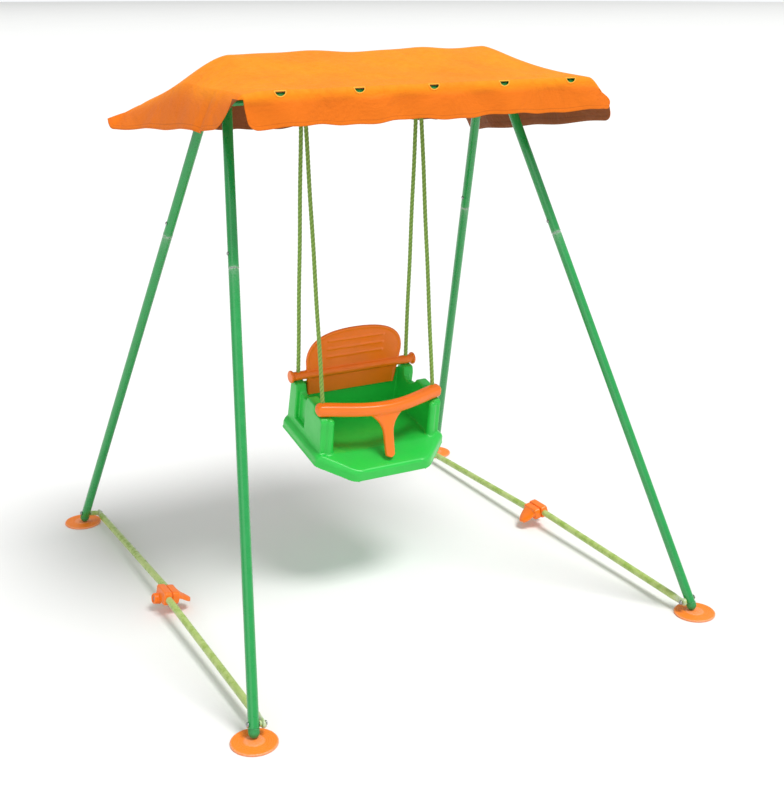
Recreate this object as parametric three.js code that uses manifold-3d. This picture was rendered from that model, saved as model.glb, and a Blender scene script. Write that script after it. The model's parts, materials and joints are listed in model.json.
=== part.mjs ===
// Toddler seat swing on a folding A-frame with a cloth canopy.
// Millimetres, +Z up, the front of the swing faces -Y, the floor is z = 0.
import * as THREE from 'three';
import { mergeVertices } from 'three/addons/utils/BufferGeometryUtils.js';
import Module from 'manifold-3d';

const wasm = await Module();
wasm.setup();

// ---- Driving dimensions -------------------------------------------------
const GAP = 0.3;
const WALL = 1.5;

// Frame: each pair of legs lies in a plane that leans inward.
const FOOT_X = 621;
const FOOT_Y = 670;
const APEX_X = 364;
const APEX_Z = 1428;
const LEAN = Math.atan((FOOT_X - APEX_X) / APEX_Z);
const APEX_UP = APEX_Z / Math.cos(LEAN);
const LEG_RUN = Math.hypot(FOOT_Y, APEX_UP);
const LEG_R = 12.5;
const LEG_JOINT = 0.662 * LEG_RUN;
const SPIGOT_R = 10.7;
const SPIGOT_LENGTH = 62;
const LEG_TOP = 1525;
const CAP_R = 12.8;
const CAP_CENTRE = 22.5;
const CAP_SEAM = 30;
const LEG_SCREW_RISE = 35;

// Fold: the rear legs turn in clevis brackets, the floor rails in two halves.
const PIVOT_Y = 36.4;
const PIVOT_UP = 1372;
const BOLT_R = 4;
const CHEEK_IN = 13;
const CHEEK_OUT = 16;
const RAIL_R = 9;
const RAIL_UP = 36;
const RAIL_END_Y = FOOT_Y * (1 - RAIL_UP / APEX_UP);
const RAIL_PIN_R = 3;
const FRONT_PLANE = 22;
const REAR_PLANE = 41;
const KNUCKLE_UP = 54;
const KNUCKLE_SPLIT = 31.5;

// Top: crossbar, hangers and the tubes that carry the canopy.
const BAR_Z = 1366;
const BAR_R = 16;
const BAR_HALF = 355;
const HANG_X = 164;
const SWING_Z = 1322;
const RING_R = 17;
const RING_WIRE = 3.5;
const ARM_X = 410;
const ARM_R = 8;
const ARM_BOLT_Z = 1352;
const EAVE_HALF = 455;
const EAVE_Y = 345;
const EAVE_FRONT_Z = 1338;
const EAVE_BACK_Z = 1258;

// Swing: ropes and seat. The seat has its own frame, tilted with its rear up.
const ROPE_R = 5.5;
const SEAT_Y = -2.4;
const SEAT_Z = 416.7;
const SEAT_TILT = THREE.MathUtils.degToRad(12.8);
const SEAT_HALF = 195;
const SHELL = 4;
const SADDLE_TOP = 98;
const REAR_POST_TOP = 117.5;
const TBAR_Y = -58;
const TBAR_UP = 116;
const REST_Y = 100;
const REST_UP = 130;
const REST_R = 12;

// ---- Materials ----------------------------------------------------------
const paint = (color, roughness, metalness = 0) =>
  () => new THREE.MeshStandardMaterial({ color, roughness, metalness });
const greenTube = paint(0x128a4a, 0.35, 0.2);
const limeTube = paint(0x9dbb4e, 0.4, 0.2);
const bareSteel = paint(0x9a9c9a, 0.4, 0.9);
const orangeMoulding = paint(0xf5790f, 0.4);
const greenMoulding = paint(0x23b552, 0.4);
const capMoulding = paint(0x178f4b, 0.45);
const ropeCord = paint(0x7ba33f, 0.8);
const canopyCloth = paint(0xf08a1a, 0.85);

// ---- Shape helpers ------------------------------------------------------
const v3 = (x, y, z) => new THREE.Vector3(x, y, z);
const v2 = (x, y) => new THREE.Vector2(x, y);

/** A manifold solid of a geometry, facing outwards. */
function solid(geometry) {
  const bare = new THREE.BufferGeometry();
  bare.setAttribute('position', geometry.getAttribute('position').clone());
  if (geometry.index) bare.setIndex(geometry.index.clone());
  const welded = mergeVertices(bare, 1e-3);
  const at = welded.getAttribute('position');
  const corners = [];
  let volume = 0;
  const [a, b, c] = [v3(), v3(), v3()];
  for (let i = 0; i < welded.index.count; i += 3) {
    const [p, q, r] = [0, 1, 2].map((k) => welded.index.getX(i + k));
    if (p === q || q === r || r === p) continue;
    corners.push([p, q, r]);
    a.fromBufferAttribute(at, p);
    b.fromBufferAttribute(at, q);
    c.fromBufferAttribute(at, r);
    volume += a.dot(b.cross(c));
  }
  const faces = volume > 0 ? corners : corners.map(([p, q, r]) => [p, r, q]);
  return new wasm.Manifold(new wasm.Mesh({
    numProp: 3,
    vertProperties: new Float32Array(at.array),
    triVerts: new Uint32Array(faces.flat()),
  }));
}

/** The union of several geometries or solids. */
const join = (...shapes) => shapes
  .map((shape) => (shape.isBufferGeometry ? solid(shape) : shape))
  .reduce((whole, shape) => whole.add(shape));

/** A solid with several geometries or solids cut out of it. */
const cut = (whole, ...tools) => tools
  .map((tool) => (tool.isBufferGeometry ? solid(tool) : tool))
  .reduce((rest, tool) => rest.subtract(tool), whole.isBufferGeometry ? solid(whole) : whole);

/** A named mesh made from a geometry or a solid. */
function piece(name, shape, material) {
  const made = (shape.isBufferGeometry ? solid(shape) : shape).getMesh();
  const geometry = new THREE.BufferGeometry();
  geometry.setAttribute('position', new THREE.Float32BufferAttribute(made.vertProperties, 3));
  geometry.setIndex([...made.triVerts]);
  geometry.computeVertexNormals();
  const mesh = new THREE.Mesh(geometry, material());
  mesh.name = name;
  return mesh;
}

/** A turned body: profile [radius, distance] about the line from a point along a direction. */
function turned(profile, from, direction, segments = 10) {
  const geometry = new THREE.LatheGeometry(profile.map(([r, y]) => v2(r, y)), segments);
  const turn = new THREE.Quaternion().setFromUnitVectors(v3(0, 1, 0), direction.clone().normalize());
  return geometry.applyQuaternion(turn).translate(from.x, from.y, from.z);
}

/** A plain round bar between two points. */
function bar(radius, from, to, segments = 10) {
  const along = to.clone().sub(from);
  const length = along.length();
  return turned([[0, 0], [radius, 0], [radius, length], [0, length]], from, along, segments);
}

/** A tube open at both ends between two points. */
function tube(radius, wall, from, to, segments = 10) {
  const along = to.clone().sub(from);
  const length = along.length();
  const inner = radius - wall;
  const profile = [[inner, 0], [radius, 0], [radius, length], [inner, length], [inner, 0]];
  return turned(profile, from, along, segments);
}

/** A plate drawn in the (Y, Z) plane and given its thickness along X. */
function plate(shape, low, high, bevel = 0) {
  const geometry = new THREE.ExtrudeGeometry(shape, {
    depth: high - low - 2 * bevel,
    bevelEnabled: bevel > 0,
    bevelThickness: bevel,
    bevelSize: bevel,
    bevelOffset: -bevel,
    bevelSegments: 1,
    curveSegments: 3,
  });
  const turn = new THREE.Matrix4().makeBasis(v3(0, 1, 0), v3(0, 0, 1), v3(1, 0, 0));
  return geometry.applyMatrix4(turn).translate(low + bevel, 0, 0);
}

/** An upright plate drawn in the (X, Y) plane and given its thickness along Z. */
function slab(shape, low, high) {
  const options = { depth: high - low, bevelEnabled: false, curveSegments: 6 };
  return new THREE.ExtrudeGeometry(shape, options).translate(0, 0, low);
}

const polygon = (points) => new THREE.Shape(points.map(([x, y]) => v2(x, y)));

/** A rounded rectangle outline about a centre. */
function rounded(x, y, halfX, halfY, radius) {
  const shape = new THREE.Shape();
  shape.absarc(x + halfX - radius, y + halfY - radius, radius, 0, Math.PI / 2);
  shape.absarc(x - halfX + radius, y + halfY - radius, radius, Math.PI / 2, Math.PI);
  shape.absarc(x - halfX + radius, y - halfY + radius, radius, Math.PI, 1.5 * Math.PI);
  shape.absarc(x + halfX - radius, y - halfY + radius, radius, 1.5 * Math.PI, 2 * Math.PI);
  return shape;
}

/** A box between two corners. */
function box(low, high) {
  const size = high.clone().sub(low);
  const middle = high.clone().add(low).multiplyScalar(0.5);
  return new THREE.BoxGeometry(size.x, size.y, size.z).translate(middle.x, middle.y, middle.z);
}

/** A lofted body through stations {at, a, b}: ellipses or squarer rounds with half axes a and b. */
function loft(stations, rounds = 10, square = 1) {
  const last = stations.length - 1;
  const geometry = new THREE.CylinderGeometry(1, 1, 1, rounds, last);
  const position = geometry.getAttribute('position');
  const bend = (value) => Math.sign(value) * Math.abs(value) ** square;
  for (let i = 0; i < position.count; i += 1) {
    const station = stations[Math.round((position.getY(i) + 0.5) * last)];
    const point = station.at.clone();
    point.addScaledVector(station.a, bend(position.getX(i)));
    point.addScaledVector(station.b, bend(position.getZ(i)));
    position.setXYZ(i, point.x, point.y, point.z);
  }
  return geometry;
}

/** A route through given points, with one step of a sweep for each. */
class Route extends THREE.Curve {
  constructor(points) {
    super();
    this.points = points;
  }

  getPoint(t) {
    const along = Math.min(Math.max(t, 0), 1) * (this.points.length - 1);
    const index = Math.min(Math.floor(along), this.points.length - 2);
    return this.points[index].clone().lerp(this.points[index + 1], along - index);
  }

  getPointAt(u) {
    return this.getPoint(u);
  }

  getTangentAt(u) {
    return this.getTangent(u);
  }
}

/** A round bar swept along a route, or a tube when a wall is given. */
function sweep(points, radius, sides, wall = 0) {
  const ring = new THREE.Shape().absarc(0, 0, radius, 0, 2 * Math.PI);
  if (wall > 0) ring.holes.push(new THREE.Path().absarc(0, 0, radius - wall, 0, 2 * Math.PI));
  return new THREE.ExtrudeGeometry(ring, {
    steps: points.length - 1,
    curveSegments: sides,
    extrudePath: new Route(points),
  });
}

// ---- Side frames --------------------------------------------------------
// A side is built flat: x across the leg plane, y front to back, z up the plane.
const onLeg = (end, run) => v3(0, end * FOOT_Y * (1 - run / LEG_RUN), (APEX_UP * run) / LEG_RUN);
const legWay = (end) => onLeg(end, LEG_RUN).sub(onLeg(end, 0)).normalize();
const across = (r, y, up, low = -20, high = 20) => bar(r, v3(low, y, up), v3(high, y, up), 8);

/** The upper tube of a leg: hollow, cross drilled at the bracket and at the leg screw. */
function upperLeg(end) {
  const body = tube(LEG_R, WALL, onLeg(end, LEG_JOINT + GAP), onLeg(end, LEG_TOP));
  const screw = onLeg(end, LEG_JOINT + LEG_SCREW_RISE);
  return cut(
    body,
    across(BOLT_R + 1.5 * GAP, end * PIVOT_Y, PIVOT_UP),
    across(2.6, screw.y, screw.z, -20, -6),
  );
}

/** The lower tube of a leg, with its narrowed spigot that enters the upper tube. */
function lowerLeg(end) {
  const start = CAP_SEAM + GAP;
  const shoulder = LEG_JOINT - start;
  const top = shoulder + SPIGOT_LENGTH;
  const inner = LEG_R - WALL;
  const neck = SPIGOT_R - WALL;
  const profile = [
    [inner, 0], [LEG_R, 0], [LEG_R, shoulder], [SPIGOT_R, shoulder], [SPIGOT_R, top],
    [neck, top], [neck, shoulder - 8], [inner, shoulder - 12], [inner, 0],
  ];
  const body = turned(profile, onLeg(end, start), legWay(end));
  const screw = onLeg(end, LEG_JOINT + LEG_SCREW_RISE);
  return cut(
    body,
    across(RAIL_PIN_R + GAP, end * RAIL_END_Y, RAIL_UP),
    across(2.6, screw.y, screw.z, -20, -6),
  );
}

/** The small domed screw that holds the two leg tubes together. */
function legScrew(end) {
  const centre = onLeg(end, LEG_JOINT + LEG_SCREW_RISE);
  const profile = [[0, 0], [2.2, 0], [2.2, 4.7], [4.6, 4.7], [4.2, 6.2], [0, 7.5]];
  return turned(profile, v3(-8.2, centre.y, centre.z), v3(-1, 0, 0), 8);
}

/** The rounded plastic end of a leg, with a short plug inside the tube. */
function footCap(end) {
  const profile = [[0, CAP_CENTRE - CAP_R]];
  for (let step = 1; step <= 4; step += 1) {
    const turn = (step / 4) * (Math.PI / 2);
    profile.push([CAP_R * Math.sin(turn), CAP_CENTRE - CAP_R * Math.cos(turn)]);
  }
  profile.push([CAP_R, CAP_SEAM], [SPIGOT_R, CAP_SEAM], [SPIGOT_R, CAP_SEAM + 4], [0, CAP_SEAM + 4]);
  return turned(profile, onLeg(end, 0), legWay(end));
}

/** The flat disc under a leg, with a low boss in the middle. */
function footDisc(side, end) {
  const profile = [[0, 0], [53, 0], [53, 3.5], [50.5, 5.2], [24, 5.2], [21.5, 7], [0, 7]];
  return turned(profile, v3(side * FOOT_X, end * FOOT_Y, 0), v3(0, 0, 1), 20);
}

/** Carries a side's flat frame into place: side is -1 on the left, +1 on the right. */
const sidePlane = (side) => new THREE.Matrix4()
  .makeRotationY(-side * LEAN)
  .setPosition(side * FOOT_X, 0, 0);

/** The bracket at the top of a side: two cheeks, a web and a socket for the crossbar. */
function topBracket(side) {
  const placed = (geometry) => geometry.applyMatrix4(sidePlane(side));
  const cheek = () => polygon([
    [-62, 1330], [62, 1330], [62, 1350], [34, 1395], [-34, 1395], [-62, 1350],
  ]);
  const barEnd = FOOT_X - BAR_Z * Math.tan(LEAN);
  const level = (x, z) => v3(side * x, 0, z);
  const legRoom = placed(box(v3(-CHEEK_IN - 0.1, -70, 1300), v3(CHEEK_IN + 0.1, 70, 1420)));
  const socket = cut(bar(BAR_R + 3.6, level(barEnd - 9, BAR_Z), level(barEnd - 56, BAR_Z)), legRoom);
  const body = join(
    placed(plate(cheek(), CHEEK_IN, CHEEK_OUT)),
    placed(plate(cheek(), -CHEEK_OUT, -CHEEK_IN)),
    placed(box(v3(-CHEEK_OUT, -34, 1391), v3(CHEEK_OUT, 34, 1395))),
    socket,
  );
  return cut(
    body,
    bar(BAR_R + GAP, level(BAR_HALF + GAP, BAR_Z), level(barEnd - 70, BAR_Z)),
    placed(across(BOLT_R + GAP, PIVOT_Y, PIVOT_UP)),
    placed(across(BOLT_R + GAP, -PIVOT_Y, PIVOT_UP)),
    bar(RAIL_PIN_R + GAP, level(ARM_X, ARM_BOLT_Z), level(barEnd, ARM_BOLT_Z), 12),
  );
}

/** A bolt across a side's plane, with a head at one end and a nut at the other. */
function crossBolt(radius, head, low, high, y, up) {
  const thick = radius * 1.1;
  const profile = [
    [0, 0], [head, 0], [head, thick], [radius, thick], [radius, thick + high - low],
    [head * 0.9, thick + high - low], [head * 0.9, 2 * thick + high - low], [0, 2 * thick + high - low],
  ];
  return turned(profile, v3(low - thick, y, up), v3(1, 0, 0), 8);
}

/** One half of a floor rail: a tube flattened where it is bolted to its leg. */
function floorRail(side, end) {
  const offset = -side * (end < 0 ? FRONT_PLANE : REAR_PLANE);
  const pivot = v3(offset, end * RAIL_END_Y, RAIL_UP);
  const knuckle = v3(offset, 0, KNUCKLE_UP);
  const way = knuckle.clone().sub(pivot).normalize();
  const reach = pivot.distanceTo(knuckle) + 12;
  const station = (run, halfUp, halfAcross) => ({
    at: pivot.clone().addScaledVector(way, run),
    a: v3(halfAcross, 0, 0),
    b: v3(0, -way.z, way.y).multiplyScalar(halfUp),
  });
  const outside = loft([
    station(-13, 4, 3), station(-11, 8, 4), station(-6, 10.5, 4), station(12, 11, 4),
    station(22, 10.5, 5.5), station(34, RAIL_R, RAIL_R), station(reach, RAIL_R, RAIL_R),
  ]);
  const bore = bar(
    RAIL_R - WALL,
    pivot.clone().addScaledVector(way, 40),
    pivot.clone().addScaledVector(way, reach + 5),
    10,
  );
  return cut(outside, bore, across(RAIL_PIN_R + GAP, pivot.y, RAIL_UP, offset - 20, offset + 20));
}

/** The bolt that holds a rail to its leg, thickened between them into a spacer. */
function railPin(side, end) {
  const plane = end < 0 ? FRONT_PLANE : REAR_PLANE;
  const face = plane - 4 - GAP;
  const profile = [
    [0, -17.5], [6, -17.5], [6.5, -15], [6.5, -LEG_R - GAP], [RAIL_PIN_R, -LEG_R - GAP],
    [RAIL_PIN_R, LEG_R + GAP], [7.5, LEG_R + GAP], [7.5, face], [RAIL_PIN_R, face],
    [RAIL_PIN_R, plane + 4 + GAP], [6, plane + 4 + GAP], [6, plane + 9], [0, plane + 9],
  ];
  return turned(profile, v3(0, end * RAIL_END_Y, RAIL_UP), v3(-side, 0, 0), 10);
}

/** The rail bore through a knuckle half, on the line of its own tube. */
function railBore(side, end) {
  const offset = -side * (end < 0 ? FRONT_PLANE : REAR_PLANE);
  const slope = (KNUCKLE_UP - RAIL_UP) / RAIL_END_Y;
  const from = v3(offset, end * 60, KNUCKLE_UP - 60 * slope);
  const to = v3(offset, -end * 12.6, KNUCKLE_UP + 12.6 * slope);
  return bar(RAIL_R + 2 * GAP, from, to);
}

/** The outer half of a knuckle: a shell on the front rail, with a low round screw lobe. */
function knuckleOuter(side) {
  const [low, high] = [9, KNUCKLE_SPLIT - GAP].map((d) => -side * d).sort((a, b) => a - b);
  const [lobeLow, lobeHigh] = [-3, 20].map((d) => -side * d).sort((a, b) => a - b);
  const shell = plate(rounded(0, KNUCKLE_UP, 35, 18, 12), low, high, 3);
  const lobe = across(14, 17, KNUCKLE_UP - 17, lobeLow, lobeHigh);
  const recess = bar(9, v3(side * 3.5, 17, KNUCKLE_UP - 17), v3(-side * 5, 17, KNUCKLE_UP - 17), 12);
  return cut(join(shell, lobe), railBore(side, -1), recess);
}

/** The inner half of a knuckle: a shell on the rear rail, with a thumb wing. */
function knuckleInner(side) {
  const [low, high] = [KNUCKLE_SPLIT + GAP, 53].map((d) => -side * d).sort((a, b) => a - b);
  const shell = plate(rounded(0, KNUCKLE_UP, 32, 18, 12), low, high, 3);
  const station = (d, y, up, halfY, halfUp) => ({
    at: v3(-side * d, y, up),
    a: v3(0, halfY, 0),
    b: v3(0, 0, halfUp),
  });
  const wing = loft([
    station(48, 0, 54, 25, 10), station(58, 0, 52, 24, 8), station(70, -2, 48, 20, 6),
    station(82, -4, 45, 14, 4.5), station(90, -5, 43, 7, 3),
  ]);
  return cut(join(shell, wing), railBore(side, 1));
}

/** The screw set in the lobe of a knuckle. */
function knuckleScrew(side) {
  const profile = [[0, 0], [8.4, 0], [8.4, 3], [7, 4.6], [0, 5.2]];
  return turned(profile, v3(-side * 4.7, 17, KNUCKLE_UP - 17), v3(side, 0, 0), 12);
}

// ---- Canopy frame and cloth ---------------------------------------------
/** A side tube of the canopy frame, bent over the bracket and coped to both eave tubes. */
function canopyArm(side) {
  const knees = [
    v3(side * ARM_X, -EAVE_Y, EAVE_FRONT_Z),
    v3(side * ARM_X, -60, 1350.5),
    v3(side * ARM_X, 0, ARM_BOLT_Z),
    v3(side * ARM_X, 60, 1341),
    v3(side * ARM_X, EAVE_Y, EAVE_BACK_Z),
  ];
  const curve = new THREE.CatmullRomCurve3(knees, false, 'centripetal');
  const eave = (end, z) => {
    const reach = (x) => v3(side * ARM_X + x, end * EAVE_Y, z);
    return bar(ARM_R + 2 * GAP, reach(-20), reach(20));
  };
  return cut(
    sweep(curve.getPoints(7), ARM_R, 4, WALL),
    eave(-1, EAVE_FRONT_Z),
    eave(1, EAVE_BACK_Z),
    across(RAIL_PIN_R + GAP, 0, ARM_BOLT_Z, side * ARM_X - 20, side * ARM_X + 20),
  );
}

/** The shouldered bolt that stands a canopy arm off its bracket. */
function armBolt(side) {
  const cheekX = FOOT_X - ARM_BOLT_Z * Math.tan(LEAN) + CHEEK_OUT / Math.cos(LEAN);
  const shoulder = ARM_X - ARM_R - GAP;
  const profile = [
    [0, 0], [5.5, 0], [6, 2], [6, 4], [RAIL_PIN_R, 4],
    [RAIL_PIN_R, 4 + ARM_X + ARM_R + GAP - shoulder], [6.5, 4 + ARM_X + ARM_R + GAP - shoulder],
    [6.5, 4 + ARM_X + ARM_R + GAP - cheekX - 1.6], [RAIL_PIN_R, 4 + ARM_X + ARM_R + GAP - cheekX - 1.6],
    [RAIL_PIN_R, ARM_X + ARM_R + 18 - cheekX], [0, ARM_X + ARM_R + 18 - cheekX],
  ];
  return turned(profile, v3(side * (ARM_X + ARM_R + GAP + 4), 0, ARM_BOLT_Z), v3(-side, 0, 0), 12);
}

/** Height of the canopy roof: eaves and arms hold it up, the crossbar lifts its middle. */
function roofHeight(x, y) {
  const ease = (from, to, value) => THREE.MathUtils.smoothstep(value, from, to);
  const edge = y < 0
    ? THREE.MathUtils.lerp(1366, EAVE_FRONT_Z + 13, Math.min(1, (-y / EAVE_Y) ** 1.4))
    : THREE.MathUtils.lerp(1366, EAVE_BACK_Z + 13, Math.min(1, (y / EAVE_Y) ** 1.25));
  const ridge = 42 * (1 - ease(0, EAVE_Y, Math.abs(y - 25)));
  const side = 1 - ease(320, EAVE_HALF, Math.abs(x));
  return edge + ridge * side;
}

/** The canopy as one closed block: curved roof on top, flared hem at the bottom. */
function canopyBlock(inset, drop) {
  const geometry = new THREE.BoxGeometry(2, 2, 2, 10, 8, 1);
  const position = geometry.getAttribute('position');
  for (let i = 0; i < position.count; i += 1) {
    const [a, b, top] = [position.getX(i), position.getY(i), position.getZ(i) > 0];
    const x = a * ((top ? EAVE_HALF + 3 : 528) - inset);
    const y = b * ((top ? EAVE_Y + 13 : EAVE_Y + 17) - inset);
    const hem = THREE.MathUtils.lerp(1270, 1182, (b + 1) / 2) - drop;
    position.setXYZ(i, x, y, top ? roofHeight(x, y) - inset : hem);
  }
  return solid(geometry);
}

/** The cloth canopy: a thin shell with a notch at each corner and slots at the front eave. */
function canopy() {
  const shell = cut(canopyBlock(0, 0), canopyBlock(3, 12));
  const tools = [];
  for (const side of [-1, 1]) {
    for (const [end, eave, hem] of [[-1, EAVE_FRONT_Z, 1270], [1, EAVE_BACK_Z, 1182]]) {
      const notch = new THREE.ExtrudeGeometry(
        polygon([[-34, hem - 30 - eave], [34, hem - 30 - eave], [0, -14]]),
        { depth: 180, bevelEnabled: false },
      );
      const corner = v3(side * (EAVE_HALF - 40), end * (EAVE_Y - 70), eave);
      const way = v3(side * 0.75, end * 0.66, 0).normalize();
      const turn = new THREE.Matrix4().makeBasis(v3(-way.y, way.x, 0), v3(0, 0, 1), v3(way.x, way.y, 0));
      if (turn.determinant() < 0) turn.makeBasis(v3(way.y, -way.x, 0), v3(0, 0, 1), v3(way.x, way.y, 0));
      tools.push(notch.applyMatrix4(turn).translate(corner.x, corner.y, corner.z));
    }
  }
  for (let index = -2; index <= 2; index += 1) {
    const halfMoon = new THREE.Shape().absarc(0, 0, 13.5, Math.PI, 2 * Math.PI);
    const slot = new THREE.ExtrudeGeometry(halfMoon, { depth: 30, bevelEnabled: false, curveSegments: 4 });
    slot.rotateX(Math.PI / 2);
    tools.push(slot.translate(index * 190, -EAVE_Y + 4, EAVE_FRONT_Z + 9));
  }
  return cut(shell, ...tools);
}

// ---- Swing --------------------------------------------------------------
/** The clamp on the crossbar: a band, a hanging lug with an eye, and a lifted crest. */
function hangerClamp(side) {
  const x = side * HANG_X;
  const lug = new THREE.Shape();
  lug.moveTo(-9, 1392);
  lug.lineTo(-11, SWING_Z);
  lug.absarc(0, SWING_Z, 11, Math.PI, 2 * Math.PI);
  lug.lineTo(9, 1392);
  lug.absarc(0, 1388, 9, 0.3, Math.PI - 0.3);
  const band = bar(BAR_R + 4.3, v3(x - 14, 0, BAR_Z), v3(x + 14, 0, BAR_Z));
  return cut(
    join(plate(lug, x - 3, x + 3), band),
    bar(BAR_R + GAP, v3(x - 20, 0, BAR_Z), v3(x + 20, 0, BAR_Z)),
    across(RING_WIRE + 1.3, 0, SWING_Z, x - 20, x + 20),
  );
}

/** The steel ring that hangs through the lug's eye. */
function hangerRing(side) {
  return new THREE.TorusGeometry(RING_R, RING_WIRE, 6, 14)
    .rotateX(Math.PI / 2)
    .translate(side * HANG_X, 0, SWING_Z - RING_R);
}

/** A point of the seat's own frame, taken into the part's frame. */
const seatPoint = (x, y, up) => v3(x, y, up)
  .applyAxisAngle(v3(1, 0, 0), SEAT_TILT)
  .add(v3(0, SEAT_Y, SEAT_Z));

/** A point of the part's frame, taken into the seat's own frame. */
const inSeat = (point) => point.clone()
  .sub(v3(0, SEAT_Y, SEAT_Z))
  .applyAxisAngle(v3(1, 0, 0), -SEAT_TILT);

/** Centre line of one rope: up from the saddle, over the ring's wire and down to the rear post. */
function ropeRoute(side) {
  const x = side * HANG_X;
  const wire = v3(x, 0, SWING_Z - 2 * RING_R);
  const over = RING_WIRE + ROPE_R + 0.5;
  const half = (y, up, end, reach) => {
    const low = seatPoint(x, y, up);
    const start = wire.clone().add(v3(0, end * over, 0));
    const way = low.clone().sub(start).normalize();
    return [low.clone().addScaledVector(way, reach), start];
  };
  const [frontEnd, frontTop] = half(TBAR_Y, TBAR_UP, -1, 46);
  const [rearEnd, rearTop] = half(REST_Y, REST_UP, 1, 42);
  const bend = [];
  for (let step = 1; step < 6; step += 1) {
    const turn = Math.PI * (1 - step / 6);
    bend.push(wire.clone().add(v3(0, over * Math.cos(turn), over * Math.sin(turn))));
  }
  return [frontEnd, frontTop, ...bend, rearTop, rearEnd];
}

/** One rope, with a knot under the saddle and another in the rear post. */
function rope(side) {
  const points = ropeRoute(side);
  const knot = (at) => new THREE.SphereGeometry(9, 8, 5).translate(at.x, at.y, at.z);
  return join(sweep(points, ROPE_R, 4), knot(points[0]), knot(points[points.length - 1]));
}

/** The straight run of a rope near the seat, as a cutter in the seat's frame. */
function ropeHole(side, end, radius) {
  const points = ropeRoute(side).map(inSeat);
  const [low, high] = end < 0 ? [points[0], points[1]] : [points.at(-1), points.at(-2)];
  const way = high.clone().sub(low).normalize();
  return bar(radius, low.clone().addScaledVector(way, 2), low.clone().addScaledVector(way, 110), 10);
}

/** The tray of the seat: an upturned shallow box with chamfered front corners. */
function seatTray(inset) {
  const half = SEAT_HALF - inset;
  const base = inset > 0 ? -40 : -32;
  const outline = [
    [-half, -98], [half, -98], [half, 112 - inset], [half - 16, 130 - inset],
    [-half + 16, 130 - inset], [-half, 112 - inset],
  ];
  const nose = [[-half, 8], [-112 + inset, -80 + inset], [112 - inset, -80 + inset], [half, 8]];
  const front = slab(polygon(nose), base, inset > 0 ? -SHELL : 0)
    .rotateX(THREE.MathUtils.degToRad(14.4))
    .translate(0, -98, 0);
  return join(slab(polygon(outline), base, inset > 0 ? -SHELL : 0), front);
}

/** The green seat: tray, side walls with hollow posts, and a low back. */
function seatShell() {
  const outline = polygon([
    [-92, -3], [-86, 90], [-78, SADDLE_TOP], [-40, SADDLE_TOP], [-36, 118], [6, 118],
    [14, 106], [30, 92], [55, 88], [70, 96], [78, REAR_POST_TOP], [112, REAR_POST_TOP], [118, -3],
  ]);
  const parts = [seatTray(0)];
  const tools = [seatTray(SHELL)];
  for (const side of [-1, 1]) {
    const span = (near, far) => [side * near, side * far].sort((a, b) => a - b);
    const block = (near, far, y0, y1, z0, z1) => {
      const [low, high] = span(near, far);
      return box(v3(low, y0, z0), v3(high, y1, z1));
    };
    parts.push(plate(outline, ...span(149, 179), 2));
    tools.push(
      block(165, 190, 14, 74, 0.5, 130),
      block(153, 175, -84, -44, -12, SADDLE_TOP - SHELL),
      block(153, 175, -34, 8, -12, 114),
      block(153, 175, 80, 109, -12, REAR_POST_TOP - SHELL),
      block(153, 161, 14, 74, -12, 80),
      ropeHole(side, -1, ROPE_R + 1),
      ropeHole(side, 1, ROPE_R + 1),
    );
    const post = (y, up, radius) => ({ at: v3(side * 153, y, up), a: v3(radius, 0, 0), b: v3(0, radius, 0) });
    parts.push(loft([
      post(-90, -3, 12), post(-86, 60, 11), post(-84, 88, 11), post(-83, 94, 8.5), post(-83, 97, 4),
    ], 10));
  }
  parts.push(box(v3(-151, 110, -3), v3(151, 114, 104)));
  return cut(join(...parts), ...tools);
}

/** The orange T bar: a bowed grip across the front and a stem down to the nose. */
function tBar() {
  const half = 186;
  const stations = [];
  for (let index = 0; index <= 10; index += 1) {
    const along = THREE.MathUtils.lerp(-1, 1, index / 10);
    const tip = Math.sqrt(Math.max(0.06, 1 - Math.max(0, (Math.abs(along) - 0.93) / 0.07) ** 2));
    const bow = 44 * Math.cos((along * Math.PI) / 2) ** 1.3;
    stations.push({
      at: v3(along * half, TBAR_Y - bow, TBAR_UP),
      a: v3(0, 17.2 * tip, 0),
      b: v3(0, 0, 17.2 * tip),
    });
  }
  const stem = [];
  for (let index = 0; index <= 6; index += 1) {
    const down = index / 6;
    const flare = 34 * Math.max(0, 1 - down / 0.5) ** 2.4;
    stem.push({
      at: v3(0, THREE.MathUtils.lerp(-100, -151, down), THREE.MathUtils.lerp(112, -8, down)),
      a: v3(THREE.MathUtils.lerp(15.5, 13.5, down) + flare, 0, 0),
      b: v3(0, 10.5, 4.5),
    });
  }
  return cut(
    join(loft(stations, 10, 0.7), loft(stem, 10, 0.7)),
    ropeHole(-1, -1, ROPE_R + 2.5),
    ropeHole(1, -1, ROPE_R + 2.5),
  );
}

/** The orange back rest: a barrel with end flanges, and a panel with rounded shoulders. */
function backRest() {
  const centre = (x) => v3(x, REST_Y, REST_UP);
  const flange = (side) => bar(17, centre(side * 181), centre(side * 189));
  const panel = new THREE.Shape();
  panel.moveTo(-128, 66);
  panel.lineTo(128, 66);
  panel.lineTo(140, 170);
  panel.bezierCurveTo(140, 226, 96, 252, 0, 252);
  panel.bezierCurveTo(-96, 252, -140, 226, -140, 170);
  const options = { depth: 5, bevelEnabled: false, curveSegments: 6 };
  const back = new THREE.ExtrudeGeometry(panel, options).rotateX(Math.PI / 2).translate(0, 103, 0);
  return cut(
    join(bar(REST_R, centre(-185), centre(185)), flange(-1), flange(1), back),
    ropeHole(-1, 1, ROPE_R + 2),
    ropeHole(1, 1, ROPE_R + 2),
  );
}

// ---- Assembly -----------------------------------------------------------
const swing = new THREE.Group();
swing.name = 'toddler_seat_swing';
const word = (side) => (side < 0 ? 'left' : 'right');

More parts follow.
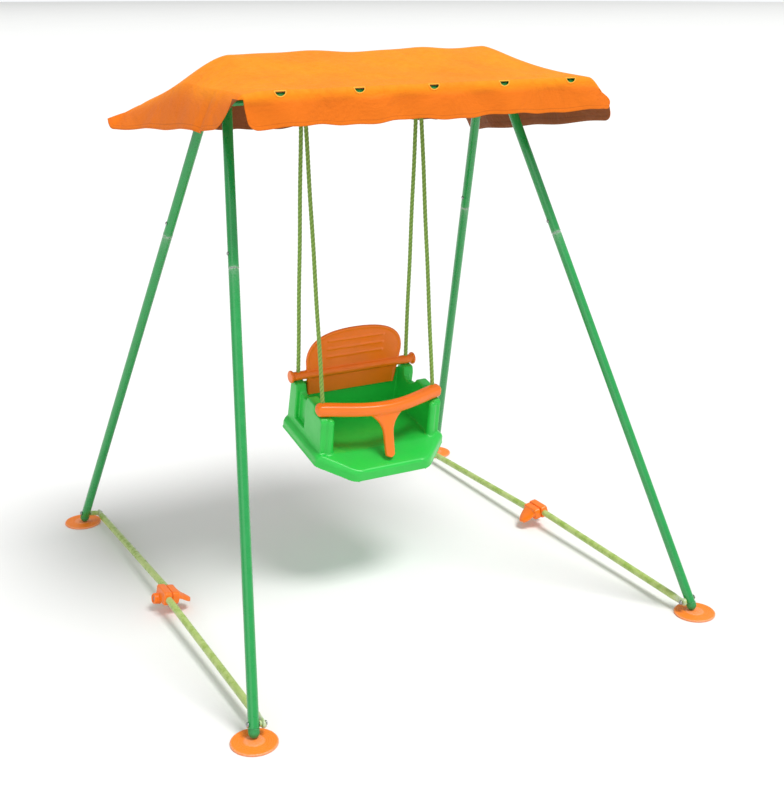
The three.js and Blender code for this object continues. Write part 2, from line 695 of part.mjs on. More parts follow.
for (const side of [-1, 1]) {
  const frame = new THREE.Group();
  frame.name = `side_${word(side)}`;
  frame.applyMatrix4(sidePlane(side));
  for (const end of [-1, 1]) {
    const spot = `${end < 0 ? 'front' : 'rear'}_${word(side)}`;
    frame.add(
      piece(`leg_upper_${spot}`, upperLeg(end), greenTube),
      piece(`leg_lower_${spot}`, lowerLeg(end), greenTube),
      piece(`leg_screw_${spot}`, legScrew(end), bareSteel),
      piece(`foot_cap_${spot}`, footCap(end), capMoulding),
      piece(`bracket_bolt_${spot}`, crossBolt(BOLT_R, 7, -16.4, 16.4, end * PIVOT_Y, PIVOT_UP), bareSteel),
      piece(`rail_${spot}`, floorRail(side, end), limeTube),
      piece(`rail_pin_${spot}`, railPin(side, end), bareSteel),
    );
    swing.add(piece(`foot_disc_${spot}`, footDisc(side, end), orangeMoulding));
  }
  frame.add(
    piece(`knuckle_outer_${word(side)}`, knuckleOuter(side), orangeMoulding),
    piece(`knuckle_inner_${word(side)}`, knuckleInner(side), orangeMoulding),
    piece(`knuckle_screw_${word(side)}`, knuckleScrew(side), bareSteel),
  );
  swing.add(
    frame,
    piece(`top_bracket_${word(side)}`, topBracket(side), greenTube),
    piece(`canopy_arm_${word(side)}`, canopyArm(side), greenTube),
    piece(`arm_bolt_${word(side)}`, armBolt(side), bareSteel),
    piece(`hanger_clamp_${word(side)}`, hangerClamp(side), bareSteel),
    piece(`hanger_ring_${word(side)}`, hangerRing(side), bareSteel),
    piece(`rope_${word(side)}`, rope(side), ropeCord),
  );
}

const level = (radius, half, y, z) => tube(radius, WALL, v3(-half, y, z), v3(half, y, z));
swing.add(
  piece('crossbar', level(BAR_R, BAR_HALF, 0, BAR_Z), greenTube),
  piece('canopy_rail_front', level(ARM_R, EAVE_HALF - 8, -EAVE_Y, EAVE_FRONT_Z), greenTube),
  piece('canopy_rail_rear', level(ARM_R, EAVE_HALF - 8, EAVE_Y, EAVE_BACK_Z), greenTube),
  piece('canopy', canopy(), canopyCloth),
);

const seat = new THREE.Group();
seat.name = 'seat';
seat.rotation.x = SEAT_TILT;
seat.position.set(0, SEAT_Y, SEAT_Z);
seat.add(
  piece('seat_shell', seatShell(), greenMoulding),
  piece('t_bar', tBar(), orangeMoulding),
  piece('back_rest', backRest(), orangeMoulding),
);
swing.add(seat);

export default swing;
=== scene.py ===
"""A toddler seat swing with a cloth canopy: the visible pieces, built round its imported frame."""

import json
from math import cos, pi, radians, sin

import bpy
import numpy as np
from bpy.props import FloatProperty, FloatVectorProperty, PointerProperty
from bpy.types import Operator, Panel, PropertyGroup
from mathutils import Euler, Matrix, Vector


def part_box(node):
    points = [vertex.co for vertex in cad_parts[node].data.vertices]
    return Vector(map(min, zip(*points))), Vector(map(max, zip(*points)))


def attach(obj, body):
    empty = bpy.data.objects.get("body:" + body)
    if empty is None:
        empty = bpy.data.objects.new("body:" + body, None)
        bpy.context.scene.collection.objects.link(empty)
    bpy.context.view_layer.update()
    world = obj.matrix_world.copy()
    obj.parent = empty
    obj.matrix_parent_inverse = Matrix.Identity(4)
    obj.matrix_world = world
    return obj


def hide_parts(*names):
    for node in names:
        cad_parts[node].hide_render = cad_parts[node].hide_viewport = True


bl_info = {
    "name": "Toddler Seat Swing",
    "version": (1, 0, 0),
    "blender": (4, 5, 0),
    "location": "View3D > Sidebar > Swing",
    "description": "Builds the visible pieces of a folding garden swing with a cloth canopy",
    "category": "Object",
}

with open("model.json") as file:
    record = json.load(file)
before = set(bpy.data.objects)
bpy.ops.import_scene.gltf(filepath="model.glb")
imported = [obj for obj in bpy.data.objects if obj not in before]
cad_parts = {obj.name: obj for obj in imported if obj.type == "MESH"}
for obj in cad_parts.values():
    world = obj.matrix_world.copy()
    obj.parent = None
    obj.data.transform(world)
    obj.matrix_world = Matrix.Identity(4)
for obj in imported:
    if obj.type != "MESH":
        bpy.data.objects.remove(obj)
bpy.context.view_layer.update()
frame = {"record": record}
BODIES = frame["record"]["behaviour"]["bodies"]
SLOTS = {part["node"]: part["material_slot"] for part in frame["record"]["subparts"]}
JOINTS = {joint["name"]: joint for joint in frame["record"]["behaviour"]["joints"]}
SIDES = ((-1, "left"), (1, "right"))
ENDS = ((-1, "front"), (1, "rear"))


def middle(node):
    """The middle of a CAD node's box at rest."""
    low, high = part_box(node)
    return (np.array(low) + np.array(high)) / 2


def half(node):
    """Half the size of a CAD node's box at rest."""
    low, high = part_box(node)
    return (np.array(high) - np.array(low)) / 2


FOOT = np.abs(middle("foot_disc_front_left"))
BAR = middle("crossbar")
EAVE_FRONT = middle("canopy_rail_front")
EAVE_REAR = middle("canopy_rail_rear")
HANGER = abs(middle("hanger_ring_right")[0])


def linear(red, green, blue):
    """A display colour from 0 to 255, as the linear colour that a shader takes."""
    value = np.array([red, green, blue]) / 255
    return tuple(np.where(value <= 0.04045, value / 12.92, ((value + 0.055) / 1.055) ** 2.4))


def length(name, value, text):
    """A size in metres, as a property."""
    return FloatProperty(name=name, description=text, default=value, min=0, unit="LENGTH", precision=4)


def colour(name, value, text):
    """A finish's colour, given as display values, as a property."""
    return FloatVectorProperty(name=name, description=text, default=linear(*value), subtype="COLOR",
                               size=3, min=0, max=1)


class SwingSizes(PropertyGroup):
    """Driving sizes of the swing, in metres."""

    leg_radius: length("Leg radius", 0.0125, "Radius of the leg tubes")
    rail_radius: length("Rail radius", 0.009, "Radius of the floor rails")
    canopy_tube: length("Canopy tube radius", float(half("canopy_rail_front")[1]),
                        "Radius of the canopy's tubes")
    rope_radius: length("Rope radius", 0.0055, "Radius of the ropes")
    rope_twist: length("Rope twist", 0.034, "Length of one turn of the rope's strands")
    apex_x: length("Apex reach", 0.364, "Sideways place where a side's leg lines meet")
    apex_z: length("Apex height", 1.428, "Height where a side's leg lines meet")
    leg_joint: FloatProperty(name="Leg joint", description="Share of the leg line below the joint",
                             default=0.662, min=0.3, max=0.9, subtype="FACTOR")
    eave_half: length("Eave half width", 0.466, "Half the width of the canopy's roof")
    eave_gap: length("Eave clearance", 0.013, "Height of the cloth's fold over the eave tube's middle")
    flap_front: length("Front flap", 0.079, "Drop of the front flap")
    flap_rear: length("Rear flap", 0.086, "Drop of the rear flap")
    cloth: length("Cloth thickness", 0.0016, "Thickness of the canopy's cloth")
    seat_y: FloatProperty(name="Seat origin Y", description="Front to back place of the seat's own origin",
                          default=-0.0024, unit="LENGTH", precision=4)
    seat_z: length("Seat origin Z", 0.4167, "Height of the seat's own origin")
    seat_tilt: FloatProperty(name="Seat tilt", description="How far the seat's rear is raised",
                             default=radians(12.8), subtype="ANGLE")
    seat_half: length("Seat half width", 0.195, "Half the width of the seat's tray")


class SwingColours(PropertyGroup):
    """Colours of the swing's finishes."""

    tube: colour("Tube green", (14, 150, 68), "Enamel of the legs")
    tube_light: colour("Tube light green", (30, 172, 86), "Lighter patches of the leg enamel")
    rail: colour("Rail lime", (152, 182, 78), "Enamel of the floor rails")
    rail_light: colour("Rail pale lime", (194, 210, 134), "Rubbed patches of the rails")
    moulding: colour("Orange moulding", (255, 122, 0), "Plastic of the bar, back rest and knuckles")
    disc: colour("Disc orange", (255, 134, 4), "Plastic of the foot discs")
    seat: colour("Seat green", (32, 204, 70), "Plastic of the seat shell")
    cap: colour("Cap green", (18, 150, 72), "Plastic of the foot caps")
    cloth: colour("Canopy orange", (255, 148, 2), "Cloth of the canopy")
    # The deep orange tints random patches and thicker threads, and is the base of the painted shade on the
    # flaps.
    cloth_deep: colour("Canopy deep orange", (244, 116, 2), "Creases and shaded threads of the canopy")
    # Painted shade: a darker, browner copy of the canopy orange for the cloth's underside.
    painted_shade_underside: colour("Canopy lining", (168, 92, 40), "Shaded underside of the canopy cloth")
    binding: colour("Slot binding", (255, 190, 70), "Stitched edges of the half-moon slots")
    rope: colour("Rope olive", (152, 192, 84), "Outer strands of the ropes")
    # Painted shade: this colour darkens the grooves between the strands.
    rope_groove_shade: colour("Rope deep olive", (88, 122, 40), "Between the strands of the ropes")
    steel: colour("Zinc steel", (178, 180, 178), "Bolts, rings and clamps")
    floor: colour("Floor", (238, 238, 236), "Paper of the studio floor")


# ---- Shader node groups ------------------------------------------------------
def new_group(name, inputs, outputs):
    """An empty shader node group with named sockets: (name, kind, default)."""
    group = bpy.data.node_groups.new(name, "ShaderNodeTree")
    for title, kind, default in inputs:
        socket = group.interface.new_socket(title, in_out="INPUT", socket_type=kind)
        socket.default_value = default
    for title, kind in outputs:
        group.interface.new_socket(title, in_out="OUTPUT", socket_type=kind)
    return group, group.nodes.new("NodeGroupInput"), group.nodes.new("NodeGroupOutput")


def node(tree, kind, **values):
    """A node with its inputs set by name; a name that starts with at_ is a property."""
    made = tree.nodes.new(kind)
    for name, value in values.items():
        if name.startswith("at_"):
            setattr(made, name[3:], value)
        else:
            made.inputs[name.replace("_", " ")].default_value = value
    return made


def blend_colours(tree, factor, first, second):
    """Mixes two colour sockets by a factor socket, and returns the mixed colour."""
    mix = node(tree, "ShaderNodeMix", at_data_type="RGBA")
    tree.links.new(factor, mix.inputs[0])
    tree.links.new(first, mix.inputs[6])
    tree.links.new(second, mix.inputs[7])
    return mix.outputs[2]


def colour_drift():
    """Two colours mixed by soft noise, with a finer noise that lightens and darkens the mix."""
    group, given, made = new_group(
        "Colour Drift",
        [("Colour", "NodeSocketColor", (1, 1, 1, 1)), ("Patch Colour", "NodeSocketColor", (1, 1, 1, 1)),
         ("Scale", "NodeSocketFloat", 8.0), ("Amount", "NodeSocketFloat", 0.5)],
        [("Colour", "NodeSocketColor"), ("Mask", "NodeSocketFloat")],
    )
    place = group.nodes.new("ShaderNodeTexCoord")
    noise = node(group, "ShaderNodeTexNoise", Detail=6.0, Roughness=0.62)
    spread = node(group, "ShaderNodeMapRange", From_Min=0.36, From_Max=0.68)
    gain = node(group, "ShaderNodeMath", at_operation="MULTIPLY")
    group.links.new(place.outputs["Object"], noise.inputs["Vector"])
    group.links.new(given.outputs["Scale"], noise.inputs["Scale"])
    group.links.new(noise.outputs["Fac"], spread.inputs["Value"])
    group.links.new(spread.outputs[0], gain.inputs[0])
    group.links.new(given.outputs["Amount"], gain.inputs[1])
    mixed = blend_colours(group, gain.outputs[0], given.outputs["Colour"], given.outputs["Patch Colour"])
    group.links.new(mixed, made.inputs["Colour"])
    group.links.new(spread.outputs[0], made.inputs["Mask"])
    return group


def fine_grain():
    """A normal roughened by two sizes of noise: moulding grain and shallow waves."""
    group, given, made = new_group(
        "Fine Grain",
        [("Scale", "NodeSocketFloat", 900.0), ("Strength", "NodeSocketFloat", 0.1),
         ("Wave", "NodeSocketFloat", 0.1)],
        [("Normal", "NodeSocketVector")],
    )
    place = group.nodes.new("ShaderNodeTexCoord")
    grain = node(group, "ShaderNodeTexNoise", Detail=3.0)
    waves = node(group, "ShaderNodeTexNoise", Scale=22.0, Detail=2.0)
    low = node(group, "ShaderNodeBump", Distance=0.004)
    high = node(group, "ShaderNodeBump", Distance=0.0006)
    for texture in (grain, waves):
        group.links.new(place.outputs["Object"], texture.inputs["Vector"])
    group.links.new(given.outputs["Scale"], grain.inputs["Scale"])
    group.links.new(waves.outputs["Fac"], low.inputs["Height"])
    group.links.new(given.outputs["Wave"], low.inputs["Strength"])
    group.links.new(grain.outputs["Fac"], high.inputs["Height"])
    group.links.new(given.outputs["Strength"], high.inputs["Strength"])
    group.links.new(low.outputs[0], high.inputs["Normal"])
    group.links.new(high.outputs[0], made.inputs["Normal"])
    return group


def edge_wear():
    """A mask of rubbed spots: the piece's own wear attribute broken up by noise, plus rare scratches."""
    group, given, made = new_group(
        "Edge Wear",
        [("Scale", "NodeSocketFloat", 160.0), ("Scratches", "NodeSocketFloat", 0.2)],
        [("Mask", "NodeSocketFloat")],
    )
    place = group.nodes.new("ShaderNodeTexCoord")
    wear = node(group, "ShaderNodeAttribute", at_attribute_name="wear")
    noise = node(group, "ShaderNodeTexNoise", Detail=5.0, Roughness=0.7)
    breakup = node(group, "ShaderNodeMapRange", From_Min=0.35, From_Max=0.6)
    spots = node(group, "ShaderNodeMath", at_operation="MULTIPLY")
    streak = node(group, "ShaderNodeMapping", Scale=(260, 260, 14))
    scratch = node(group, "ShaderNodeTexNoise", Scale=1.0, Detail=2.0)
    rare = node(group, "ShaderNodeMapRange", From_Min=0.72, From_Max=0.8)
    few = node(group, "ShaderNodeMath", at_operation="MULTIPLY")
    total = node(group, "ShaderNodeMath", at_operation="MAXIMUM")
    group.links.new(place.outputs["Object"], noise.inputs["Vector"])
    group.links.new(given.outputs["Scale"], noise.inputs["Scale"])
    group.links.new(noise.outputs["Fac"], breakup.inputs["Value"])
    group.links.new(breakup.outputs[0], spots.inputs[0])
    group.links.new(wear.outputs["Fac"], spots.inputs[1])
    group.links.new(place.outputs["Object"], streak.inputs["Vector"])
    group.links.new(streak.outputs[0], scratch.inputs["Vector"])
    group.links.new(scratch.outputs["Fac"], rare.inputs["Value"])
    group.links.new(rare.outputs[0], few.inputs[0])
    group.links.new(given.outputs["Scratches"], few.inputs[1])
    group.links.new(spots.outputs[0], total.inputs[0])
    group.links.new(few.outputs[0], total.inputs[1])
    group.links.new(total.outputs[0], made.inputs["Mask"])
    return group


def woven():
    """Plain weave on the piece's own map: crossed waves for the threads, as height and as shade."""
    group, given, made = new_group(
        "Woven",
        [("Threads", "NodeSocketFloat", 700.0)],
        [("Height", "NodeSocketFloat"), ("Shade", "NodeSocketFloat")],
    )
    place = group.nodes.new("ShaderNodeUVMap")
    scale = node(group, "ShaderNodeVectorMath", at_operation="SCALE")
    warp = node(group, "ShaderNodeTexWave", Scale=1.0, Distortion=1.2, Detail=1.0)
    weft = node(group, "ShaderNodeTexWave", at_bands_direction="Y", Scale=1.0, Distortion=1.2, Detail=1.0)
    both = node(group, "ShaderNodeMath", at_operation="MULTIPLY")
    slub = node(group, "ShaderNodeTexNoise", Scale=60.0, Detail=5.0, Roughness=0.7)
    group.links.new(place.outputs[0], scale.inputs[0])
    group.links.new(given.outputs["Threads"], scale.inputs["Scale"])
    group.links.new(scale.outputs[0], warp.inputs["Vector"])
    group.links.new(scale.outputs[0], weft.inputs["Vector"])
    group.links.new(warp.outputs["Fac"], both.inputs[0])
    group.links.new(weft.outputs["Fac"], both.inputs[1])
    group.links.new(place.outputs[0], slub.inputs["Vector"])
    group.links.new(both.outputs[0], made.inputs["Height"])
    group.links.new(slub.outputs["Fac"], made.inputs["Shade"])
    return group


GROUPS = {}


def placed_group(tree, name, **values):
    """A shared node group placed in a material, with its own values."""
    makers = {"Colour Drift": colour_drift, "Fine Grain": fine_grain, "Edge Wear": edge_wear,
              "Woven": woven}
    if name not in GROUPS:
        GROUPS[name] = makers[name]()
    made = tree.nodes.new("ShaderNodeGroup")
    made.node_tree = GROUPS[name]
    for title, value in values.items():
        made.inputs[title.replace("_", " ")].default_value = value
    return made


# ---- Materials -------------------------------------------------------------
MATERIALS = {}
HEM_STITCH = 0.009


def rgba(value):
    """A colour with full alpha."""
    return (*value[:3], 1.0)


def shade(value, share):
    """A darker colour: each part times a share."""
    return [part * share for part in value]


def shader(name, **values):
    """A new material and its Principled shader, with plain values set on the shader's sockets."""
    material = bpy.data.materials.new(name)
    material.use_nodes = True
    principled = material.node_tree.nodes["Principled BSDF"]
    for title, value in values.items():
        principled.inputs[title.replace("_", " ")].default_value = value
    return material, material.node_tree, principled


def roughness_range(tree, principled, mask, low, high):
    """Roughness that follows a mask between two values."""
    spread = node(tree, "ShaderNodeMapRange", To_Min=low, To_Max=high)
    tree.links.new(mask, spread.inputs["Value"])
    tree.links.new(spread.outputs[0], principled.inputs["Roughness"])


def enamel(name, main, patch, worn, amount, coat, grain):
    """Painted tube: drifting colour, rubbed to a paler coat where the piece is worn."""
    material, tree, principled = shader(name, Coat_Weight=coat, Coat_Roughness=0.12, Specular_IOR_Level=0.5)
    drift = placed_group(tree, "Colour Drift", Colour=rgba(main), Patch_Colour=rgba(patch), Scale=34.0,
                         Amount=amount)
    wear = placed_group(tree, "Edge Wear", Scale=240.0, Scratches=0.25)
    bare = tree.nodes.new("ShaderNodeRGB")
    bare.outputs[0].default_value = rgba(worn)
    mixed = blend_colours(tree, wear.outputs["Mask"], drift.outputs["Colour"], bare.outputs[0])
    tree.links.new(mixed, principled.inputs["Base Color"])
    roughness_range(tree, principled, drift.outputs["Mask"], 0.22, 0.4)
    bump = placed_group(tree, "Fine Grain", Scale=420.0, Strength=grain, Wave=0.04)
    tree.links.new(bump.outputs[0], principled.inputs["Normal"])
    return material


def moulded(name, main, patch, rough, grain, coat=0.0):
    """Moulded plastic: faint colour drift, fine grain and paler rubbed edges."""
    material, tree, principled = shader(name, Coat_Weight=coat, Coat_Roughness=0.2)
    drift = placed_group(tree, "Colour Drift", Colour=rgba(main), Patch_Colour=rgba(patch), Scale=16.0,
                         Amount=0.55)
    wear = placed_group(tree, "Edge Wear", Scale=300.0, Scratches=0.12)
    pale = node(tree, "ShaderNodeRGB")
    pale.outputs[0].default_value = rgba([0.55 * value + 0.32 for value in main])
    mixed = blend_colours(tree, wear.outputs["Mask"], drift.outputs["Colour"], pale.outputs[0])
    tree.links.new(mixed, principled.inputs["Base Color"])
    roughness_range(tree, principled, drift.outputs["Mask"], rough, rough + 0.14)
    bump = placed_group(tree, "Fine Grain", Scale=1100.0, Strength=grain, Wave=0.05)
    tree.links.new(bump.outputs[0], principled.inputs["Normal"])
    return material


def zinc_steel(main):
    """Plated steel with dull spots."""
    material, tree, principled = shader("Zinc steel", Metallic=1.0)
    drift = placed_group(tree, "Colour Drift", Colour=rgba(main),
                         Patch_Colour=rgba(shade(main, 0.62)), Scale=120.0, Amount=0.8)
    tree.links.new(drift.outputs["Colour"], principled.inputs["Base Color"])
    roughness_range(tree, principled, drift.outputs["Mask"], 0.24, 0.5)
    bump = placed_group(tree, "Fine Grain", Scale=1500.0, Strength=0.12, Wave=0.03)
    tree.links.new(bump.outputs[0], principled.inputs["Normal"])
    return material


def rope_fibre(main, deep):
    """Laid rope: the strand attribute darkens the grooves with painted shade, and fine slanted fibres roughen
    it.
    """
    material, tree, principled = shader("Rope fibre", Roughness=0.75, Sheen_Weight=0.25, Sheen_Roughness=0.5)
    strand = node(tree, "ShaderNodeAttribute", at_attribute_name="strand")
    place = tree.nodes.new("ShaderNodeUVMap")
    slant = node(tree, "ShaderNodeMapping", Scale=(1400.0, 9.0, 1.0), Rotation=(0, 0, 0.5))
    fibres = node(tree, "ShaderNodeTexNoise", Scale=1.0, Detail=4.0)
    light = node(tree, "ShaderNodeRGB")
    dark = node(tree, "ShaderNodeRGB")
    light.outputs[0].default_value = rgba(main)
    dark.outputs[0].default_value = rgba(deep)
    # Painted shade: the mix leans to the dark colour where the strand attribute is low, in the grooves.
    depth = node(tree, "ShaderNodeMath", at_operation="MULTIPLY_ADD")
    depth.inputs[1].default_value = 0.55
    bump = node(tree, "ShaderNodeBump", Strength=0.5, Distance=0.0008)
    tree.links.new(place.outputs[0], slant.inputs["Vector"])
    tree.links.new(slant.outputs[0], fibres.inputs["Vector"])
    tree.links.new(fibres.outputs["Fac"], depth.inputs[0])
    tree.links.new(strand.outputs["Fac"], depth.inputs[2])
    tree.links.new(blend_colours(tree, depth.outputs[0], dark.outputs[0], light.outputs[0]),
                   principled.inputs["Base Color"])
    tree.links.new(fibres.outputs["Fac"], bump.inputs["Height"])
    tree.links.new(bump.outputs[0], principled.inputs["Normal"])
    return material


def canopy_cloth(name, main, deep):
    """Coated cloth: plain weave, soft creases, and flaps painted a deeper orange than the roof: painted shade
    on the hanging flaps.
    """
    material, tree, principled = shader(name, Specular_IOR_Level=0.3)
    drift = placed_group(tree, "Colour Drift", Colour=rgba(main), Patch_Colour=rgba(deep), Scale=5.5,
                         Amount=0.5)
    weave = placed_group(tree, "Woven", Threads=2600.0)
    dark = node(tree, "ShaderNodeRGB")
    dark.outputs[0].default_value = rgba(shade(deep, 0.72))
    thin = node(tree, "ShaderNodeMapRange", From_Min=0.45, From_Max=0.8, To_Max=0.4)
    tree.links.new(weave.outputs["Shade"], thin.inputs["Value"])
    # Painted shade: this attribute darkens the hanging flaps towards a deeper orange, and leaves the roof
    # bright.
    flap_shade = node(tree, "ShaderNodeAttribute", at_attribute_name="flap_shade")
    less = node(tree, "ShaderNodeMath", at_operation="MULTIPLY")
    less.inputs[1].default_value = 0.8
    flap_shade_colour = tree.nodes.new("ShaderNodeRGB")
    flap_shade_colour.outputs[0].default_value = rgba(shade(deep, 0.86))
    tree.links.new(flap_shade.outputs["Fac"], less.inputs[0])
    kept = blend_colours(tree, less.outputs[0], drift.outputs["Colour"], flap_shade_colour.outputs[0])
    mixed = blend_colours(tree, thin.outputs[0], kept, dark.outputs[0])
    hem = node(tree, "ShaderNodeAttribute", at_attribute_name="hem")
    off_line = node(tree, "ShaderNodeMath", at_operation="SUBTRACT")
    off_line.inputs[1].default_value = HEM_STITCH
    near = node(tree, "ShaderNodeMath", at_operation="ABSOLUTE")
    line = node(tree, "ShaderNodeMapRange", From_Min=0.0005, From_Max=0.0012, To_Min=0.5, To_Max=0.0)
    thread = node(tree, "ShaderNodeRGB")
    thread.outputs[0].default_value = rgba(shade(deep, 0.6))
    tree.links.new(hem.outputs["Fac"], off_line.inputs[0])
    tree.links.new(off_line.outputs[0], near.inputs[0])
    tree.links.new(near.outputs[0], line.inputs["Value"])
    stitched = blend_colours(tree, line.outputs[0], mixed, thread.outputs[0])
    tree.links.new(stitched, principled.inputs["Base Color"])
    roughness_range(tree, principled, weave.outputs["Shade"], 0.6, 0.85)
    place = tree.nodes.new("ShaderNodeTexCoord")
    creases = node(tree, "ShaderNodeTexNoise", Scale=9.0, Detail=5.0, Roughness=0.58, Distortion=0.8)
    crumple = node(tree, "ShaderNodeBump", Strength=0.5, Distance=0.02)
    threads = node(tree, "ShaderNodeBump", Strength=0.25, Distance=0.0004)
    tree.links.new(place.outputs["Object"], creases.inputs["Vector"])
    tree.links.new(creases.outputs["Fac"], crumple.inputs["Height"])
    tree.links.new(weave.outputs["Height"], threads.inputs["Height"])
    tree.links.new(crumple.outputs[0], threads.inputs["Normal"])
    tree.links.new(threads.outputs[0], principled.inputs["Normal"])
    return material


def studio_paper(tone):
    """Matt paper with the faintest unevenness."""
    material, tree, principled = shader("Studio paper", Roughness=1.0, Specular_IOR_Level=0.0)
    drift = placed_group(tree, "Colour Drift", Colour=rgba(tone), Patch_Colour=rgba(shade(tone, 0.97)),
                         Scale=0.6, Amount=0.5)
    tree.links.new(drift.outputs["Colour"], principled.inputs["Base Color"])
    return material


def build_materials(colours):
    """One material for each slot of the record, and one each for discs, the painted-shade underside of the
    canopy, slot edges and floor.
    """
    pale = (0.62, 0.66, 0.6)
    MATERIALS.update({
        "green_tube": enamel("Green enamel", colours.tube, colours.tube_light, pale, 0.22, 0.6, 0.02),
        "lime_tube": enamel("Lime enamel", colours.rail, colours.rail_light, pale, 0.9, 0.15, 0.2),
        "bare_steel": zinc_steel(colours.steel),
        "orange_moulding": moulded("Orange plastic", colours.moulding, shade(colours.moulding, 0.86),
                                   0.3, 0.1, 0.15),
        "disc": moulded("Disc plastic", colours.disc, shade(colours.disc, 0.86), 0.42, 0.25),
        "green_moulding": moulded("Green plastic", colours.seat, shade(colours.seat, 0.84), 0.3, 0.12, 0.2),
        "cap_moulding": moulded("Cap plastic", colours.cap, shade(colours.cap, 0.8), 0.4, 0.2),
        "rope_cord": rope_fibre(colours.rope, colours.rope_groove_shade),
        "canopy_cloth": canopy_cloth("Canopy cloth", colours.cloth, colours.cloth_deep),
        # The canopy's underside material: a darker copy of the cloth, painted shade.
        "painted_shade_underside": canopy_cloth("Canopy lining", colours.painted_shade_underside, shade(colours.painted_shade_underside, 0.7)),
        "binding": canopy_cloth("Slot binding", colours.binding, colours.cloth),
        "floor": studio_paper(colours.floor),
    })


def finish(name):
    """A material by its slot or detail name; all are made when the first one is asked for."""
    if not MATERIALS:
        build_materials(bpy.context.scene.swing_colours)
    return MATERIALS[name]


# ---- Surfaces ----------------------------------------------------------------
def ease(low, high, value):
    """Smooth step: 0 below low, 1 above high, and 3t^2 - 2t^3 between."""
    t = np.clip((value - low) / (high - low), 0, 1)
    return t * t * (3 - 2 * t)


def volume(points, faces):
    """Six times a closed shell's signed volume: first corner . (corner x next corner), over every face."""
    counts = np.array([len(face) for face in faces])
    starts = np.cumsum(counts) - counts
    corners = points[np.concatenate(faces)]
    after = np.arange(1, len(corners) + 1)
    after[starts + counts - 1] = starts
    return np.einsum("ij,ij->", np.repeat(corners[starts], counts, 0), np.cross(corners, corners[after]))


def new_piece(name, points, faces, material, smooth=True, **attributes):
    """A mesh object from points and faces, with optional float attributes of its points."""
    mesh = bpy.data.meshes.new(name)
    mesh.from_pydata(points.tolist(), [], faces)
    mesh.materials.append(finish(material))
    mesh.polygons.foreach_set("use_smooth", [smooth] * len(mesh.polygons))
    for title, values in attributes.items():
        if title != "uv":
            layer = mesh.attributes.new(title, "FLOAT", "POINT")
            layer.data.foreach_set("value", np.asarray(values, dtype=np.float32).ravel())
    if "uv" in attributes:
        corners = np.zeros(len(mesh.loops), dtype=np.int32)
        mesh.loops.foreach_get("vertex_index", corners)
        flat = np.asarray(attributes["uv"], dtype=np.float32).reshape(-1, 2)[corners]
        mesh.uv_layers.new(name="UVMap").data.foreach_set("uv", flat.ravel())
    mesh.update()
    made = bpy.data.objects.new(name, mesh)
    bpy.context.collection.objects.link(made)
    return made


def grid_faces(rows, columns, wrap_rows=False, wrap_columns=False):
    """Quads of a grid of points in row order, joined round where asked."""
    r = np.arange(rows if wrap_rows else rows - 1)[:, None]
    c = np.arange(columns if wrap_columns else columns - 1)[None, :]
    r_next, c_next = (r + 1) % rows, (c + 1) % columns
    quads = np.stack(np.broadcast_arrays(r * columns + c, r * columns + c_next,
                                         r_next * columns + c_next, r_next * columns + c), -1)
    return quads.reshape(-1, 4).tolist()


def skin(name, rings, material, wrap=False, **attributes):
    """A closed shell over rings of points (stations, sides, 3), its ends capped unless it wraps."""
    stations, sides = rings.shape[:2]
    faces = grid_faces(stations, sides, wrap, True)
    points = rings.reshape(-1, 3)
    if not wrap:
        faces += [list(range(sides))[::-1], list(range((stations - 1) * sides, stations * sides))]
    if volume(points, faces) < 0:
        faces = [face[::-1] for face in faces]
    return new_piece(name, points, faces, material, **attributes)


def carried(path, across):
    """Two unit vectors square to a path at each of its points: one near a given one, and its partner."""
    tangent = np.gradient(path, axis=0)
    tangent /= np.linalg.norm(tangent, axis=1, keepdims=True)
    side = across - tangent * (tangent @ across)[:, None]
    side /= np.linalg.norm(side, axis=1, keepdims=True)
    return side, np.cross(tangent, side)


def ring_points(path, across, wide, high, sides=32, square=1.0):
    """Rings round a path: rounds (square below 1 is boxier) with half widths wide and high."""
    side, up = carried(path, np.asarray(across, float))
    angle = np.linspace(0, 2 * pi, sides, endpoint=False)
    c, s = (np.sign(f) * np.abs(f) ** square for f in (np.cos(angle), np.sin(angle)))
    wide, high = (np.broadcast_to(value, len(path))[:, None, None] for value in (wide, high))
    return (path[:, None] + wide * c[None, :, None] * side[:, None] + high * s[None, :, None] * up[:, None])


def domed(start, end, radius, stations=2, dome=None):
    """A straight path with rounded ends: quarter circles of the given size at both ends."""
    start, end = np.asarray(start, float), np.asarray(end, float)
    reach = np.linalg.norm(end - start)
    dome = radius if dome is None else dome
    turn = np.linspace(0, pi / 2, 7)[1:]
    near = dome * (1 - np.cos(turn))
    shrink = radius - dome + dome * np.sin(turn)
    run = np.concatenate([[0.0], near, np.linspace(dome, reach - dome, stations)[1:-1],
                          reach - near[::-1], [reach]])
    size = np.concatenate([[max(radius - dome, 1e-5)], shrink, np.full(max(stations - 2, 0), radius),
                           shrink[::-1], [max(radius - dome, 1e-5)]])
    return start + (end - start) * (run / reach)[:, None], size


def bar_piece(name, start, end, radius, material, dome=0.001, sides=36, stations=24, wear=0.0):
    """A round bar with softened ends, worn most near both ends."""
    path, size = domed(start, end, radius, stations, dome)
    steep = abs(end[2] - start[2]) >= 0.5 * np.linalg.norm(np.subtract(end, start))
    across = (0, 1, 0) if steep else (0, 0, 1)
    run = np.linalg.norm(path - path[0], axis=1)
    worn = wear * (np.exp(-run / 0.004) + np.exp(-(run[-1] - run) / 0.004))
    return skin(name, ring_points(path, across, size, size, sides), material, wear=np.repeat(worn, sides))


